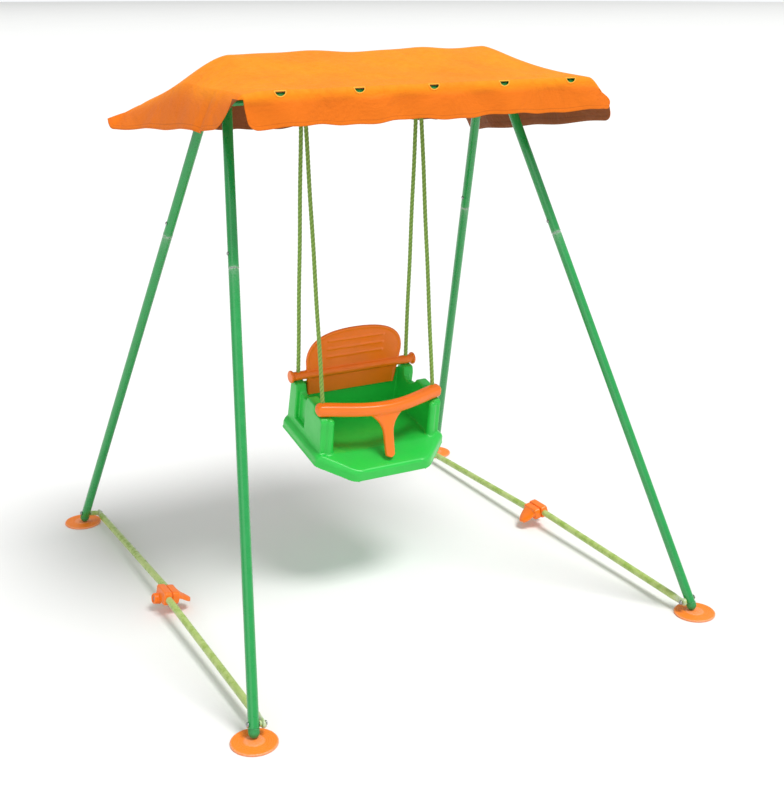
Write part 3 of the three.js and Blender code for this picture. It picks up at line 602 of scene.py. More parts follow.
def turned(name, profile, origin, axis, material, sides=40, wear=None):
    """A turned body: a profile of (radius, distance) carried round an axis from an origin."""
    profile = np.array(profile, float)
    axis = np.asarray(axis, float) / np.linalg.norm(axis)
    spare = np.array([0.0, 0.0, 1.0]) if abs(axis[2]) < 0.9 else np.array([1.0, 0.0, 0.0])
    side = np.cross(axis, spare)
    side /= np.linalg.norm(side)
    up = np.cross(axis, side)
    angle = np.linspace(0, 2 * pi, sides, endpoint=False)
    round_way = np.cos(angle)[:, None] * side + np.sin(angle)[:, None] * up
    radius = np.maximum(profile[:, 0], 1e-5)
    rings = np.asarray(origin) + profile[:, 1, None, None] * axis + radius[:, None, None] * round_way
    worn = np.zeros(len(profile)) if wear is None else np.asarray(wear, float)
    return skin(name, rings, material, wear=np.repeat(worn, sides))


def filleted(corners, radius, arc=6):
    """A polygon's outline with its corners turned into arcs, from its corner points."""
    corners = np.asarray(corners, float)
    radius = np.broadcast_to(radius, len(corners))
    outline = []
    for before, corner, after, size in zip(np.roll(corners, 1, 0), corners, np.roll(corners, -1, 0), radius):
        toward, away = before - corner, after - corner
        room = min(np.linalg.norm(toward), np.linalg.norm(away)) * 0.49
        toward, away = toward / np.linalg.norm(toward), away / np.linalg.norm(away)
        spread = np.arccos(np.clip(toward @ away, -1, 1))
        cut = min(size / np.tan(spread / 2), room)
        t = np.linspace(0, 1, arc + 1)[:, None]
        start, end = corner + toward * cut, corner + away * cut
        outline.append((1 - t) ** 2 * start + 2 * t * (1 - t) * corner + t ** 2 * end)
    return np.concatenate(outline)


def prism(name, outline, low, high, place, material, bevel=0.002):
    """A flat outline given a thickness from low to high, put in place by a function, and bevelled."""
    count = len(outline)
    ends = [np.column_stack([outline, np.full(count, level)]) for level in (low, high)]
    points = place(np.concatenate(ends))
    around = np.arange(count)
    after = (around + 1) % count
    faces = np.column_stack([around, after, after + count, around + count]).tolist()
    faces += [list(range(count))[::-1], list(range(count, 2 * count))]
    if volume(points, faces) < 0:
        faces = [face[::-1] for face in faces]
    made = new_piece(name, points, faces, material)
    soften = made.modifiers.new("Bevel", "BEVEL")
    soften.width = bevel
    soften.segments = 3
    soften.limit_method = "ANGLE"
    soften.angle_limit = radians(50)
    return settle(made)


def settle(made):
    """Applies an object's modifiers to its mesh."""
    graph = bpy.context.evaluated_depsgraph_get()
    graph.update()
    mesh = bpy.data.meshes.new_from_object(made.evaluated_get(graph), depsgraph=graph)
    old = made.data
    made.modifiers.clear()
    made.data = mesh
    bpy.data.meshes.remove(old)
    return made


def merged(name, pieces):
    """Several shells joined as one object."""
    for other in bpy.context.selected_objects:
        other.select_set(False)
    for each in pieces:
        each.select_set(True)
    bpy.context.view_layer.objects.active = pieces[0]
    if bpy.ops.object.join() != {"FINISHED"}:
        raise RuntimeError(f"{name} could not be joined")
    pieces[0].name = name
    return pieces[0]


def moulded_together(name, pieces, cell, rounds):
    """Shells fused into one moulding: a fine remesh, then smoothing that fills the corners between them."""
    made = merged(name, pieces)
    remesh = made.modifiers.new("Remesh", "REMESH")
    remesh.mode = "VOXEL"
    remesh.voxel_size = cell
    remesh.use_smooth_shade = True
    soften = made.modifiers.new("Smooth", "SMOOTH")
    soften.factor = 0.5
    soften.iterations = rounds
    return settle(made)


def stands_for(made, *nodes):
    """Puts a piece in the place of CAD nodes: it rides on their body, and the nodes are hidden."""
    body = next(name for name, members in BODIES.items() if nodes[0] in members)
    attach(made, body)
    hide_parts(*nodes)


def goes_with(made, node_name, slot=None):
    """An extra piece that rides on a CAD node's body."""
    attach(made, next(name for name, members in BODIES.items() if node_name in members))
    slot or SLOTS[node_name]


# ---- Legs --------------------------------------------------------------------
LEG_SIDES = 40
CAP_SEAM = 0.0303
SLEEVE_HALF = 0.02
SCREW_HALF = 0.00375


def leg_line(sizes, side, end):
    """A leg's foot point, the unit vector up its line, and the line's length to the apex."""
    foot = np.array([side * FOOT[0], end * FOOT[1], 0.0])
    apex = np.array([side * sizes.apex_x, 0.0, sizes.apex_z])
    run = np.linalg.norm(apex - foot)
    return foot, (apex - foot) / run, run


def leg_tube(name, foot, way, start, end, radius, flared):
    """A leg tube: circles along the leg's line, drawn in at both rims; a flared start swells as a bell curve.

    Wear falls off exponentially from the rim at the joint, and more widely from the far end."""
    run = np.concatenate([[start, start + 0.0004], start + np.array([0.001, 0.0022, 0.0036, 0.005, 0.008]),
                          np.linspace(start + 0.02, end - 0.02, 40),
                          end - np.array([0.008, 0.005, 0.0036, 0.0022, 0.001]), [end - 0.0004, end]])
    swell = np.full(len(run), radius)
    if flared:
        swell += 0.0006 * np.exp(-((run - start) / 0.004) ** 2)
    swell[[0, -1]] -= 0.0012
    swell[[1, -2]] -= 0.0003
    worn = 0.95 * np.exp(-np.abs(run - (start if flared else end)) / 0.0022)
    worn += 0.25 * np.exp(-np.abs(run - end) / 0.02)
    rings = ring_points(foot + run[:, None] * way, (1, 0, 0), swell, swell, LEG_SIDES)
    return skin(name, rings, "green_tube", wear=np.repeat(np.clip(worn, 0, 1), LEG_SIDES))


class SWING_OT_legs(Operator):
    """Upper and lower leg tubes, their screws and their foot caps"""

    bl_idname = "swing.legs"
    bl_label = "Legs"

    def execute(self, context):
        """Makes each leg along its own line, from the foot to the apex."""
        sizes = context.scene.swing_sizes
        for side, hand in SIDES:
            for end, where in ENDS:
                spot = f"{where}_{hand}"
                foot, way, run = leg_line(sizes, side, end)
                joint = sizes.leg_joint * run
                top = (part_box(f"leg_upper_{spot}")[1][2] - 0.005) / way[2]
                upper = leg_tube(f"upper_leg_{spot}", foot, way, joint + 0.0009, top, sizes.leg_radius, True)
                lower = leg_tube(f"lower_leg_{spot}", foot, way, CAP_SEAM, joint - 0.0002, sizes.leg_radius,
                                 False)
                stands_for(upper, f"leg_upper_{spot}")
                stands_for(lower, f"leg_lower_{spot}")
                sleeve = bar_piece(f"leg_sleeve_{spot}", foot + way * (joint - SLEEVE_HALF),
                                   foot + way * (joint + SLEEVE_HALF), sizes.leg_radius - 0.0012,
                                   "bare_steel", 0.0004, 32, 4)
                goes_with(sleeve, f"leg_lower_{spot}", "bare_steel")
                self.cap(spot, foot, way, sizes)
                self.screw(spot, side * side_axes(sizes, side)[0])
        return {"FINISHED"}

    def cap(self, spot, foot, way, sizes):
        """Rounded end: a turned quarter circle, then a short skirt with a small groove at the seam."""
        radius, centre = sizes.leg_radius + 0.0003, 0.0225
        turn = np.linspace(0, pi / 2, 12)
        profile = [(radius * sin(t), centre - radius * cos(t)) for t in turn]
        profile += [(radius, 0.0275), (radius + 0.0005, 0.0285), (radius + 0.0005, 0.0297),
                    (radius - 0.0006, 0.0302), (0, 0.0302)]
        made = turned(f"foot_end_{spot}", profile, foot, way, "cap_moulding",
                      wear=[0.5] * 4 + [0.1] * (len(profile) - 6) + [0.6] * 2)
        stands_for(made, f"foot_cap_{spot}")

    def screw(self, spot, out):
        """Small turned head with a socket, domed over a short shank; it points the given way."""
        head = [(0, 0), (0.0022, 0), (0.0022, 0.0047), (0.0047, 0.0047), (0.0045, 0.0058), (0.0036, 0.0068),
                (0.0022, 0.0074), (0.0012, 0.0075), (0.0011, 0.0066), (0, 0.0066)]
        made = turned(f"leg_stud_{spot}", head, middle(f"leg_screw_{spot}") - out * SCREW_HALF, out,
                      "bare_steel", 24)
        stands_for(made, f"leg_screw_{spot}")


class SWING_OT_discs(Operator):
    """The flat foot discs, with a low boss and shallow rings"""

    bl_idname = "swing.discs"
    bl_label = "Foot discs"

    def execute(self, context):
        """Turns one profile four times: a rounded rim, a face with cosine ripples, and a boss."""
        radius = float(half("foot_disc_front_left")[0])
        reach = np.linspace(radius - 0.004, 0.026, 60)
        rings = 0.0052 + 0.00035 * np.cos(reach * 2 * pi / 0.0055) * ease(radius, radius - 0.01, reach)
        profile = [(0, 0), (radius - 0.002, 0), (radius, 0.0008), (radius, 0.0034), (radius - 0.001, 0.0046),
                   *zip(reach, rings), (0.0235, 0.0056), (0.0220, 0.0066), (0.0205, 0.007), (0, 0.007)]
        worn = [0, 0, 0.4, 0.7, 0.6] + [0.06] * len(reach) + [0.2, 0.5, 0.5, 0.2]
        for side, hand in SIDES:
            for end, where in ENDS:
                spot = f"{where}_{hand}"
                made = turned(f"foot_plate_{spot}", profile, (side * FOOT[0], end * FOOT[1], 0), (0, 0, 1),
                              "disc", 96, worn)
                stands_for(made, f"foot_disc_{spot}")
        return {"FINISHED"}


# ---- Floor rails and knuckles -------------------------------------------------
KNUCKLE_UP = 0.054
KNUCKLE_SCREW = (0.017, 0.037)


def side_axes(sizes, side):
    """Across and up vectors of a side's leaning plane: inboard, front to back, and up the plane."""
    lean = np.arctan((FOOT[0] - sizes.apex_x) / sizes.apex_z)
    inboard = np.array([-side * cos(lean), 0.0, -sin(lean)])
    up = np.array([-side * sin(lean), 0.0, cos(lean)])
    return inboard, np.array([0.0, 1.0, 0.0]), up


def on_side(sizes, side):
    """A function that puts points (front to back, up, inboard) of a side's plane into the swing."""
    inboard, along, up = side_axes(sizes, side)
    foot = np.array([side * FOOT[0], 0.0, 0.0])
    return lambda points: foot + points[:, :1] * along + points[:, 1:2] * up + points[:, 2:3] * inboard


class SWING_OT_rails(Operator):
    """The floor rails, flattened and ribbed where they are bolted to the legs"""

    bl_idname = "swing.rails"
    bl_label = "Floor rails"

    def execute(self, context):
        """Rings along each rail: a half ellipse for the tip, then flat and ribbed, eased to a round tube."""
        sizes = context.scene.swing_sizes
        for side, hand in SIDES:
            inboard = side_axes(sizes, side)[0]
            for _, where in ENDS:
                pivot = np.array(JOINTS[f"{where}_rail_{hand}_turn"]["pos_m"])
                knuckle = on_side(sizes, side)(np.array([[0, KNUCKLE_UP, 0]]))[0]
                knuckle = knuckle + inboard * ((pivot - knuckle) @ inboard)
                way = (knuckle - pivot) / np.linalg.norm(knuckle - pivot)
                reach = np.linalg.norm(knuckle - pivot) + 0.012
                turn = np.linspace(0, pi / 2, 8)
                run = np.concatenate([-0.013 * np.cos(turn[:-1]), np.linspace(0, 0.04, 28),
                                      np.linspace(0.05, reach, 60)])
                tip = np.sqrt(np.clip(1 - (np.minimum(run, 0) / 0.0132) ** 2, 0.02, 1))
                flat = 1 - ease(0.014, 0.036, run)
                ribs = 0.0005 * np.sin(run * 2 * pi / 0.0042) * flat * ease(0.008, 0.013, run)
                wide = sizes.rail_radius + (0.004 - sizes.rail_radius) * flat + ribs
                high = (sizes.rail_radius + 0.0018 * flat) * tip
                rings = ring_points(pivot + run[:, None] * way, inboard, wide, high, 32, 0.92)
                worn = np.clip(0.75 * flat + 0.35 * ease(reach - 0.06, reach - 0.03, run), 0, 1)
                made = skin(f"floor_rail_{where}_{hand}", rings, "lime_tube", wear=np.repeat(worn, 32))
                stands_for(made, f"rail_{where}_{hand}")
        return {"FINISHED"}


class SWING_OT_knuckles(Operator):
    """The moulded halves of the rail knuckles, with screw lobe and thumb wing"""

    bl_idname = "swing.knuckles"
    bl_label = "Knuckles"

    def execute(self, context):
        """Makes both halves of each side in its leaning plane."""
        sizes = context.scene.swing_sizes
        for side, hand in SIDES:
            place = on_side(sizes, side)
            self.outer(hand, place, side_axes(sizes, side)[0])
            self.inner(hand, place)
        return {"FINISHED"}

    def outer(self, hand, place, inboard):
        """A rounded block with grip ribs and a round lobe with a sunk screw."""
        body = filleted([(-0.034, 0.036), (0.03, 0.036), (0.034, 0.046), (0.034, 0.072), (-0.034, 0.072)],
                        0.009)
        pieces = [prism("shell", body, 0.0095, 0.031, place, "orange_moulding", 0.0035)]
        centre = place(np.array([[*KNUCKLE_SCREW, -0.003]]))[0]
        lobe = [(0.0092, 0.004), (0.0092, 0.0005), (0.0125, 0), (0.0142, 0.002), (0.0148, 0.02), (0, 0.02)]
        pieces.append(turned("lobe", lobe, centre, inboard, "orange_moulding", 40))
        for rib in range(3):
            spot = place(np.array([[-0.024 - 0.0032 * rib, KNUCKLE_UP, 0.0195]]))[0]
            pieces.append(turned("rib", [(0, -0.001), (0.0125, -0.001), (0.0125, 0.001), (0, 0.001)], spot,
                                 (0, 1, 0), "orange_moulding", 40))
        made = moulded_together(f"knuckle_shell_{hand}", pieces, 0.0009, 16)
        stands_for(made, f"knuckle_outer_{hand}")
        head = [(0, -0.0005), (0.0083, -0.0005), (0.0083, 0.0025), (0.0074, 0.0036), (0.003, 0.0044),
                (0.0022, 0.0036), (0, 0.0036)]
        screw = turned(f"knuckle_stud_{hand}", head, place(np.array([[*KNUCKLE_SCREW, 0.0045]]))[0], -inboard,
                       "bare_steel", 32)
        stands_for(screw, f"knuckle_screw_{hand}")

    def inner(self, hand, place):
        """A rounded block with a wing: ellipses that shrink and droop along a short curved path, hollowed."""
        body = filleted([(-0.031, 0.037), (0.031, 0.037), (0.031, 0.071), (-0.031, 0.071)], 0.01)
        pieces = [prism("shell", body, 0.032, 0.0525, place, "orange_moulding", 0.0035)]
        t = np.linspace(0, 1, 24)
        path = place(np.column_stack([-0.007 * t, 0.057 - 0.016 * t ** 1.6, 0.044 + 0.045 * t]))
        wide = 0.0265 * np.sqrt(np.clip(1 - (0.97 * t) ** 2.6, 0, 1)) + 0.001
        high = 0.0125 - 0.0085 * ease(0, 0.55, t)
        rings = ring_points(path, (0, 1, 0), wide, high, 36, 0.95)
        sunk = np.zeros(rings.shape)
        lift = np.clip(np.abs(rings[..., 1] - path[:, None, 1]) / wide[:, None], 0, 1) ** 2
        sunk[..., 2] = 0.006 * ease(0.2, 0.7, t)[:, None] * (lift - 0.3)
        rings = rings - sunk
        pieces.append(skin("wing", rings, "orange_moulding"))
        made = moulded_together(f"knuckle_wing_{hand}", pieces, 0.0009, 16)
        stands_for(made, f"knuckle_inner_{hand}")


# ---- Crossbar, canopy tubes, brackets and hangers -----------------------------
def smooth_through(points, count):
    """A smooth line through points: each coordinate as a cubic over the distance between the points."""
    points = np.asarray(points, float)
    along = np.concatenate([[0], np.cumsum(np.linalg.norm(np.diff(points, axis=0), axis=1))])
    slope = np.gradient(points, along, axis=0)
    t = np.linspace(0, along[-1], count)
    span = np.clip(np.searchsorted(along, t, side="right") - 1, 0, len(points) - 2)
    gap = (along[span + 1] - along[span])[:, None]
    s = (t - along[span])[:, None] / gap
    return ((2 * s ** 3 - 3 * s ** 2 + 1) * points[span] + (s ** 3 - 2 * s ** 2 + s) * gap * slope[span]
            + (3 * s ** 2 - 2 * s ** 3) * points[span + 1] + (s ** 3 - s ** 2) * gap * slope[span + 1])


class SWING_OT_tubes(Operator):
    """The crossbar, the two canopy tubes and the two bent canopy arms"""

    bl_idname = "swing.tubes"
    bl_label = "Crossbar and canopy tubes"

    def execute(self, context):
        """Straight bars with softened ends, then circles swept along a smooth line for each arm."""
        sizes = context.scene.swing_sizes
        for name, title, wear in (("crossbar", "top_bar", 0.3), ("canopy_rail_front", "front_eave_tube", 0.6),
                                  ("canopy_rail_rear", "rear_eave_tube", 0.6)):
            centre, reach = middle(name), half(name)
            made = bar_piece(title, centre - (reach[0], 0, 0), centre + (reach[0], 0, 0), float(reach[1]),
                             "green_tube", 0.0008, 40, 40, wear)
            stands_for(made, name)
        for _, hand in SIDES:
            x = float(middle(f"canopy_arm_{hand}")[0])
            inset = sizes.canopy_tube * 0.6
            points = [(x, EAVE_FRONT[1] + inset, EAVE_FRONT[2]), (x, -0.06, 1.3505), (x, 0, 1.352),
                      (x, 0.06, 1.341), (x, EAVE_REAR[1] - inset, EAVE_REAR[2])]
            path = smooth_through(points, 90)
            radius = float(half(f"canopy_arm_{hand}")[0])
            rings = ring_points(path, (1, 0, 0), radius, radius, 32)
            made = skin(f"bent_arm_{hand}", rings, "green_tube")
            stands_for(made, f"canopy_arm_{hand}")
        return {"FINISHED"}


HINGE_Y = 0.0364
HINGE_UP = 1.372
HINGE_REACH = 0.0208
RAIL_BOLT_UP = 0.036
RAIL_BOLT_OUT = -0.0175


def bolt(name, start, end, shank, head):
    """A turned bolt: a domed head, a plain shank, and a round nut with the shank's end standing out."""
    start, end = np.asarray(start, float), np.asarray(end, float)
    reach = float(np.linalg.norm(end - start))
    tall = 0.6 * head
    profile = [(0, 0), (head * 0.5, tall * 0.08), (head * 0.8, tall * 0.3), (head * 0.97, tall * 0.62),
               (head, tall), (shank, tall), (shank, reach - tall), (head, reach - tall),
               (head, reach - tall * 0.25), (head * 0.9, reach - tall * 0.05),
               (shank * 0.9, reach - tall * 0.05), (shank * 0.8, reach), (0, reach)]
    return turned(name, profile, start, end - start, "bare_steel", 30)


class SWING_OT_fixings(Operator):
    """Bolts through the brackets, arms and rails"""

    bl_idname = "swing.fixings"
    bl_label = "Bolts and pins"

    def execute(self, context):
        """Sets each bolt across its side, with spacers between the legs and rails."""
        sizes = context.scene.swing_sizes
        for side, hand in SIDES:
            place = on_side(sizes, side)
            for end, where in ENDS:
                y = end * HINGE_Y
                ends = place(np.array([[y, HINGE_UP, -HINGE_REACH], [y, HINGE_UP, HINGE_REACH]]))
                made = bolt(f"hinge_bolt_{where}_{hand}", *ends, 0.004, 0.007)
                stands_for(made, f"bracket_bolt_{where}_{hand}")
                reach = 0.031 if where == "front" else 0.05
                y = JOINTS[f"{where}_rail_{hand}_turn"]["pos_m"][1]
                ends = place(np.array([[y, RAIL_BOLT_UP, RAIL_BOLT_OUT], [y, RAIL_BOLT_UP, reach]]))
                made = bolt(f"rail_bolt_{where}_{hand}", *ends, 0.003, 0.0063)
                stands_for(made, f"rail_pin_{where}_{hand}")
                spacer = place(np.array([[y, RAIL_BOLT_UP, 0.0128], [y, RAIL_BOLT_UP, reach - 0.0133]]))
                made = bar_piece(f"rail_spacer_{where}_{hand}", *spacer, 0.0072, "lime_tube", 0.0006, 32, 4,
                                 0.5)
                goes_with(made, f"rail_pin_{where}_{hand}", "lime_tube")
            centre, size = middle(f"arm_bolt_{hand}"), half(f"arm_bolt_{hand}")
            near, far = centre[0] + side * size[0], centre[0] - side * size[0]
            made = bolt(f"arm_stud_{hand}", (near, 0, centre[2]), (far, 0, centre[2]), 0.003, size[1])
            stands_for(made, f"arm_bolt_{hand}")
        return {"FINISHED"}


PLATE = 0.003
CHEEK_OUT = 0.016


class SWING_OT_brackets(Operator):
    """The folded top brackets with their crossbar sockets, and the crossbar's hanger clamps"""

    bl_idname = "swing.brackets"
    bl_label = "Top brackets and hangers"

    def execute(self, context):
        """Bevelled plates and a turned socket, joined; each ring is a torus: a circle carried round."""
        sizes = context.scene.swing_sizes
        cheek = filleted([(-0.062, 1.33), (0.062, 1.33), (0.062, 1.35), (0.034, 1.395), (-0.034, 1.395),
                          (-0.062, 1.35)], 0.007)
        web = filleted([(-0.034, 1.3915), (0.034, 1.3915), (0.034, 1.395), (-0.034, 1.395)], 0.0005, 2)
        for side, hand in SIDES:
            place = on_side(sizes, side)
            pieces = [prism("cheek", cheek, low, low + PLATE, place, "green_tube", 0.0007)
                      for low in (CHEEK_OUT - PLATE, -CHEEK_OUT)]
            pieces.append(prism("web", web, -CHEEK_OUT, CHEEK_OUT, place, "green_tube", 0.0007))
            start = FOOT[0] - BAR[2] * (FOOT[0] - sizes.apex_x) / sizes.apex_z
            socket = [(0.0163, 0.0015), (0.0178, 0), (0.0196, 0.0012), (0.0196, 0.04), (0.0163, 0.04),
                      (0.0163, 0.0015)]
            pieces.append(turned("socket", socket, (side * (start - 0.056), 0, BAR[2]), (side, 0, 0),
                                 "green_tube", 48))
            stands_for(merged(f"folded_bracket_{hand}", pieces), f"top_bracket_{hand}")
            stands_for(self.clamp(side, hand), f"hanger_clamp_{hand}")
            turn = np.linspace(0, 2 * pi, 97)[:-1]
            centre = middle(f"hanger_ring_{hand}")
            wire = float(half(f"hanger_ring_{hand}")[1])
            mean = float(half(f"hanger_ring_{hand}")[0]) - wire
            out = np.column_stack([np.cos(turn), np.zeros(96), np.sin(turn)])
            small = np.linspace(0, 2 * pi, 24, endpoint=False)
            rings = (centre + (mean + wire * np.cos(small))[None, :, None] * out[:, None]
                     + (wire * np.sin(small))[None, :, None] * np.array([0, 1, 0]))
            stands_for(skin(f"steel_ring_{hand}", rings, "bare_steel", True), f"hanger_ring_{hand}")
        return {"FINISHED"}

    def clamp(self, side, hand):
        """A pressed band round the crossbar, with a flat lug that hangs below it and holds a rolled eye."""
        x = side * HANGER
        band = [(0.0163, -0.0135), (0.0196, -0.014), (0.0203, -0.0128), (0.0203, 0.0128), (0.0196, 0.014),
                (0.0163, 0.0135), (0.0163, -0.0135)]
        pieces = [turned("band", band, (x, 0, BAR[2]), (1, 0, 0), "bare_steel", 56)]
        outline = filleted([(-0.010, 1.312), (0.010, 1.312), (0.012, 1.347), (-0.012, 1.347)], 0.009)

        def place(points):
            """Puts the lug's outline in the plane across the crossbar."""
            return np.column_stack([x + points[:, 2], points[:, 0], points[:, 1]])

        pieces.append(prism("lug", outline, -0.003, 0.003, place, "bare_steel", 0.0008))
        rim = [(0.0048, -0.0036), (0.0072, -0.0036), (0.0078, 0), (0.0072, 0.0036), (0.0048, 0.0036),
               (0.0048, -0.0036)]
        pieces.append(turned("eye", rim, (x, 0, 1.322), (1, 0, 0), "bare_steel", 40))
        return merged(f"pressed_hanger_{hand}", pieces)


# ---- Seat, bar, back rest and ropes --------------------------------------------
def seat_frame(sizes):
    """A function that puts points of the seat's own frame (x, forward to back, up) into the swing."""
    c, s = cos(sizes.seat_tilt), sin(sizes.seat_tilt)

    def place(points):
        """Turns about +X by the seat's tilt, then moves to the seat's origin."""
        points = np.asarray(points, float)
        return np.column_stack([points[:, 0], points[:, 1] * c - points[:, 2] * s + sizes.seat_y,
                                points[:, 1] * s + points[:, 2] * c + sizes.seat_z])

    return place


def upright(place, reverse=False):
    """Lets a prism be drawn from its side (y, up, across) or, reversed, from the front (across, up, y)."""
    order = [0, 2, 1] if reverse else [2, 0, 1]
    return lambda points: place(points[:, order])


class SWING_OT_seat(Operator):
    """The bucket seat: tray with skirt and nose, side saddles, rope posts and low back"""

    bl_idname = "swing.seat"
    bl_label = "Seat shell"

    def execute(self, context):
        """Bevelled outlines and lofts in the seat's own frame, fused and smoothed."""
        sizes = context.scene.swing_sizes
        place = seat_frame(sizes)
        pieces = [self.tray(sizes, place)]
        saddle = [(-0.092, -0.003), (-0.086, 0.09), (-0.078, 0.098), (-0.04, 0.098), (-0.036, 0.118),
                  (0.006, 0.118), (0.014, 0.106), (0.03, 0.092), (0.055, 0.088), (0.07, 0.096),
                  (0.078, 0.1175), (0.112, 0.1175), (0.118, -0.003)]
        front = [*saddle[:7], (0.016, -0.003)]
        rear = [(0.072, -0.003), (0.072, 0.1), saddle[10], saddle[11], saddle[12]]
        foot = [(0.01, -0.003), (0.01, 0.018), (0.08, 0.018), (0.08, -0.003)]
        for side in (-1, 1):
            for outline, near, far, size in ((saddle, 0.149, 0.166, 0.008), (front, 0.149, 0.179, 0.007),
                                             (rear, 0.149, 0.179, 0.007), (foot, 0.149, 0.179, 0.003)):
                pieces.append(prism("block", filleted(outline, size, 4), side * near, side * far,
                                    upright(place), "green_moulding", 0.003))
            stations = np.array([(-0.09, -0.003, 0.012), (-0.088, 0.03, 0.0116), (-0.086, 0.06, 0.011),
                                 (-0.084, 0.088, 0.011), (-0.083, 0.094, 0.0085), (-0.083, 0.097, 0.004)])
            path = place(np.column_stack([np.full(6, side * 0.153), stations[:, :2]]))
            pieces.append(skin("post", ring_points(path, (1, 0, 0), stations[:, 2], stations[:, 2], 24),
                               "green_moulding"))
        wall = filleted([(-0.151, -0.003), (0.151, -0.003), (0.151, 0.104), (-0.151, 0.104)], 0.012)
        pieces.append(prism("back", wall, 0.1085, 0.1145, upright(place, True), "green_moulding", 0.002))
        for across in (-0.09, -0.03, 0.03, 0.09):
            rib = [(across - 0.003, 0.0), (across + 0.003, 0.0), (across + 0.003, 0.094),
                   (across - 0.003, 0.094)]
            pieces.append(prism("rib", filleted(rib, 0.002, 3), 0.112, 0.1185, upright(place, True),
                                "green_moulding", 0.001))
        made = moulded_together("bucket_seat", pieces, 0.0021, 4)
        stands_for(made, "seat_shell")
        return {"FINISHED"}

    def tray(self, sizes, place):
        """A hollow slab lofted front to back: its half width follows the plan, and its nose dips."""
        y = np.concatenate([-0.1755 + np.array([0, 0.0008, 0.0024, 0.005, 0.0051, 0.008]),
                            np.linspace(-0.162, -0.1, 12), np.linspace(-0.094, 0.108, 24),
                            [0.113, 0.119, 0.1249, 0.125, 0.1275, 0.13]])
        half_width = np.interp(y, [-0.1755, -0.098, 0.112, 0.13],
                               [0.112, sizes.seat_half, sizes.seat_half, 0.179])
        half_width -= 0.012 * (1 - np.sqrt(np.clip(1 - ((-0.1635 - y) / 0.012).clip(0, 1) ** 2, 0, 1)))
        half_width -= 0.004 * ease(0.122, 0.13, y)
        top = -0.005 * np.clip((-0.1705 - y) / 0.005, 0, 1) ** 2
        top -= 0.005 * np.clip((y - 0.125) / 0.005, 0, 1) ** 2
        dip = np.tan(radians(14.4)) * np.clip(-0.098 - y, 0, None)
        solid = (y < -0.1704) | (y > 0.12495)
        t = np.linspace(1, -1, 41)
        wall = -0.032
        rings = []
        for row, width, level, drop, full in zip(y, half_width, top, dip, solid):
            pan = 0.0035 * (1 - ease(0.10, 0.14, np.abs(t * (width - 0.017)))) * ease(-0.175, -0.12, row)
            outer = np.column_stack([-t * (width - 0.017), level - pan])
            bead = [(0.0, wall), (0.0, wall + 0.003), (0.0022, wall + 0.0046), (0.0022, -0.0145)]
            bead += [(0.017 - 0.0148 * cos(a), -0.0145 + 0.0145 * sin(a)) for a in np.linspace(0.2, 1.4, 7)]
            bead = np.array(bead)
            rise = np.column_stack([bead[:, 0] - width, bead[:, 1]])
            outer = np.concatenate([rise, outer, (rise * (-1, 1))[::-1]])
            under = np.full(len(t), wall + 0.0002) if full else level - pan - 0.005
            curb = wall + 0.0002 if full else -0.016
            inner = [(width - 0.0065, wall), (width - 0.0065, curb), *zip(t * (width - 0.018), under),
                     (-width + 0.0065, curb), (-width + 0.0065, wall)]
            section = np.concatenate([outer, inner])
            flat = np.column_stack([section[:, 0], np.full(len(section), row), section[:, 1] - drop])
            rings.append(place(flat))
        return skin("tray", np.array(rings), "green_moulding")


class SWING_OT_bar(Operator):
    """The T bar: a bowed bar across the child's lap, with a stem that flares into it"""

    bl_idname = "swing.bar"
    bl_label = "T bar"

    def execute(self, context):
        """Rounded boxy rings on a path bowed by a cosine, and on a stem that widens by a power."""
        sizes = context.scene.swing_sizes
        place = seat_frame(sizes)
        a = np.linspace(-1, 1, 121)
        bow = -0.058 - 0.044 * np.cos(a * pi / 2) ** 1.3
        path = place(np.column_stack([0.186 * a, bow, np.full(len(a), 0.116)]))
        tip = np.sqrt(np.clip(1 - (np.clip(np.abs(a) - 0.93, 0, None) / 0.07) ** 2, 0.05, 1))
        size = (0.0165 + 0.0008 * np.abs(a) ** 3) * tip
        forward = place([(0, 1, 0)])[0] - place([(0, 0, 0)])[0]
        pieces = [skin("bar", ring_points(path, forward, size, size, 40, 0.74), "orange_moulding")]
        t = np.linspace(0, 1, 50)
        line = place(np.column_stack([0 * t, -0.1 - 0.051 * t, 0.112 - 0.12 * t]))
        wide = 0.0155 - 0.002 * t + 0.05 * np.clip(1 - t / 0.58, 0, 1) ** 2.6
        wide = wide * np.sqrt(np.clip(1 - (np.clip(t - 0.93, 0, None) / 0.072) ** 2, 0.05, 1))
        pieces.append(skin("stem", ring_points(line, (1, 0, 0), wide, 0.0108 - 0.002 * t, 36, 0.8),
                           "orange_moulding"))
        made = moulded_together("lap_bar", pieces, 0.0013, 8)
        stands_for(made, "t_bar")
        return {"FINISHED"}


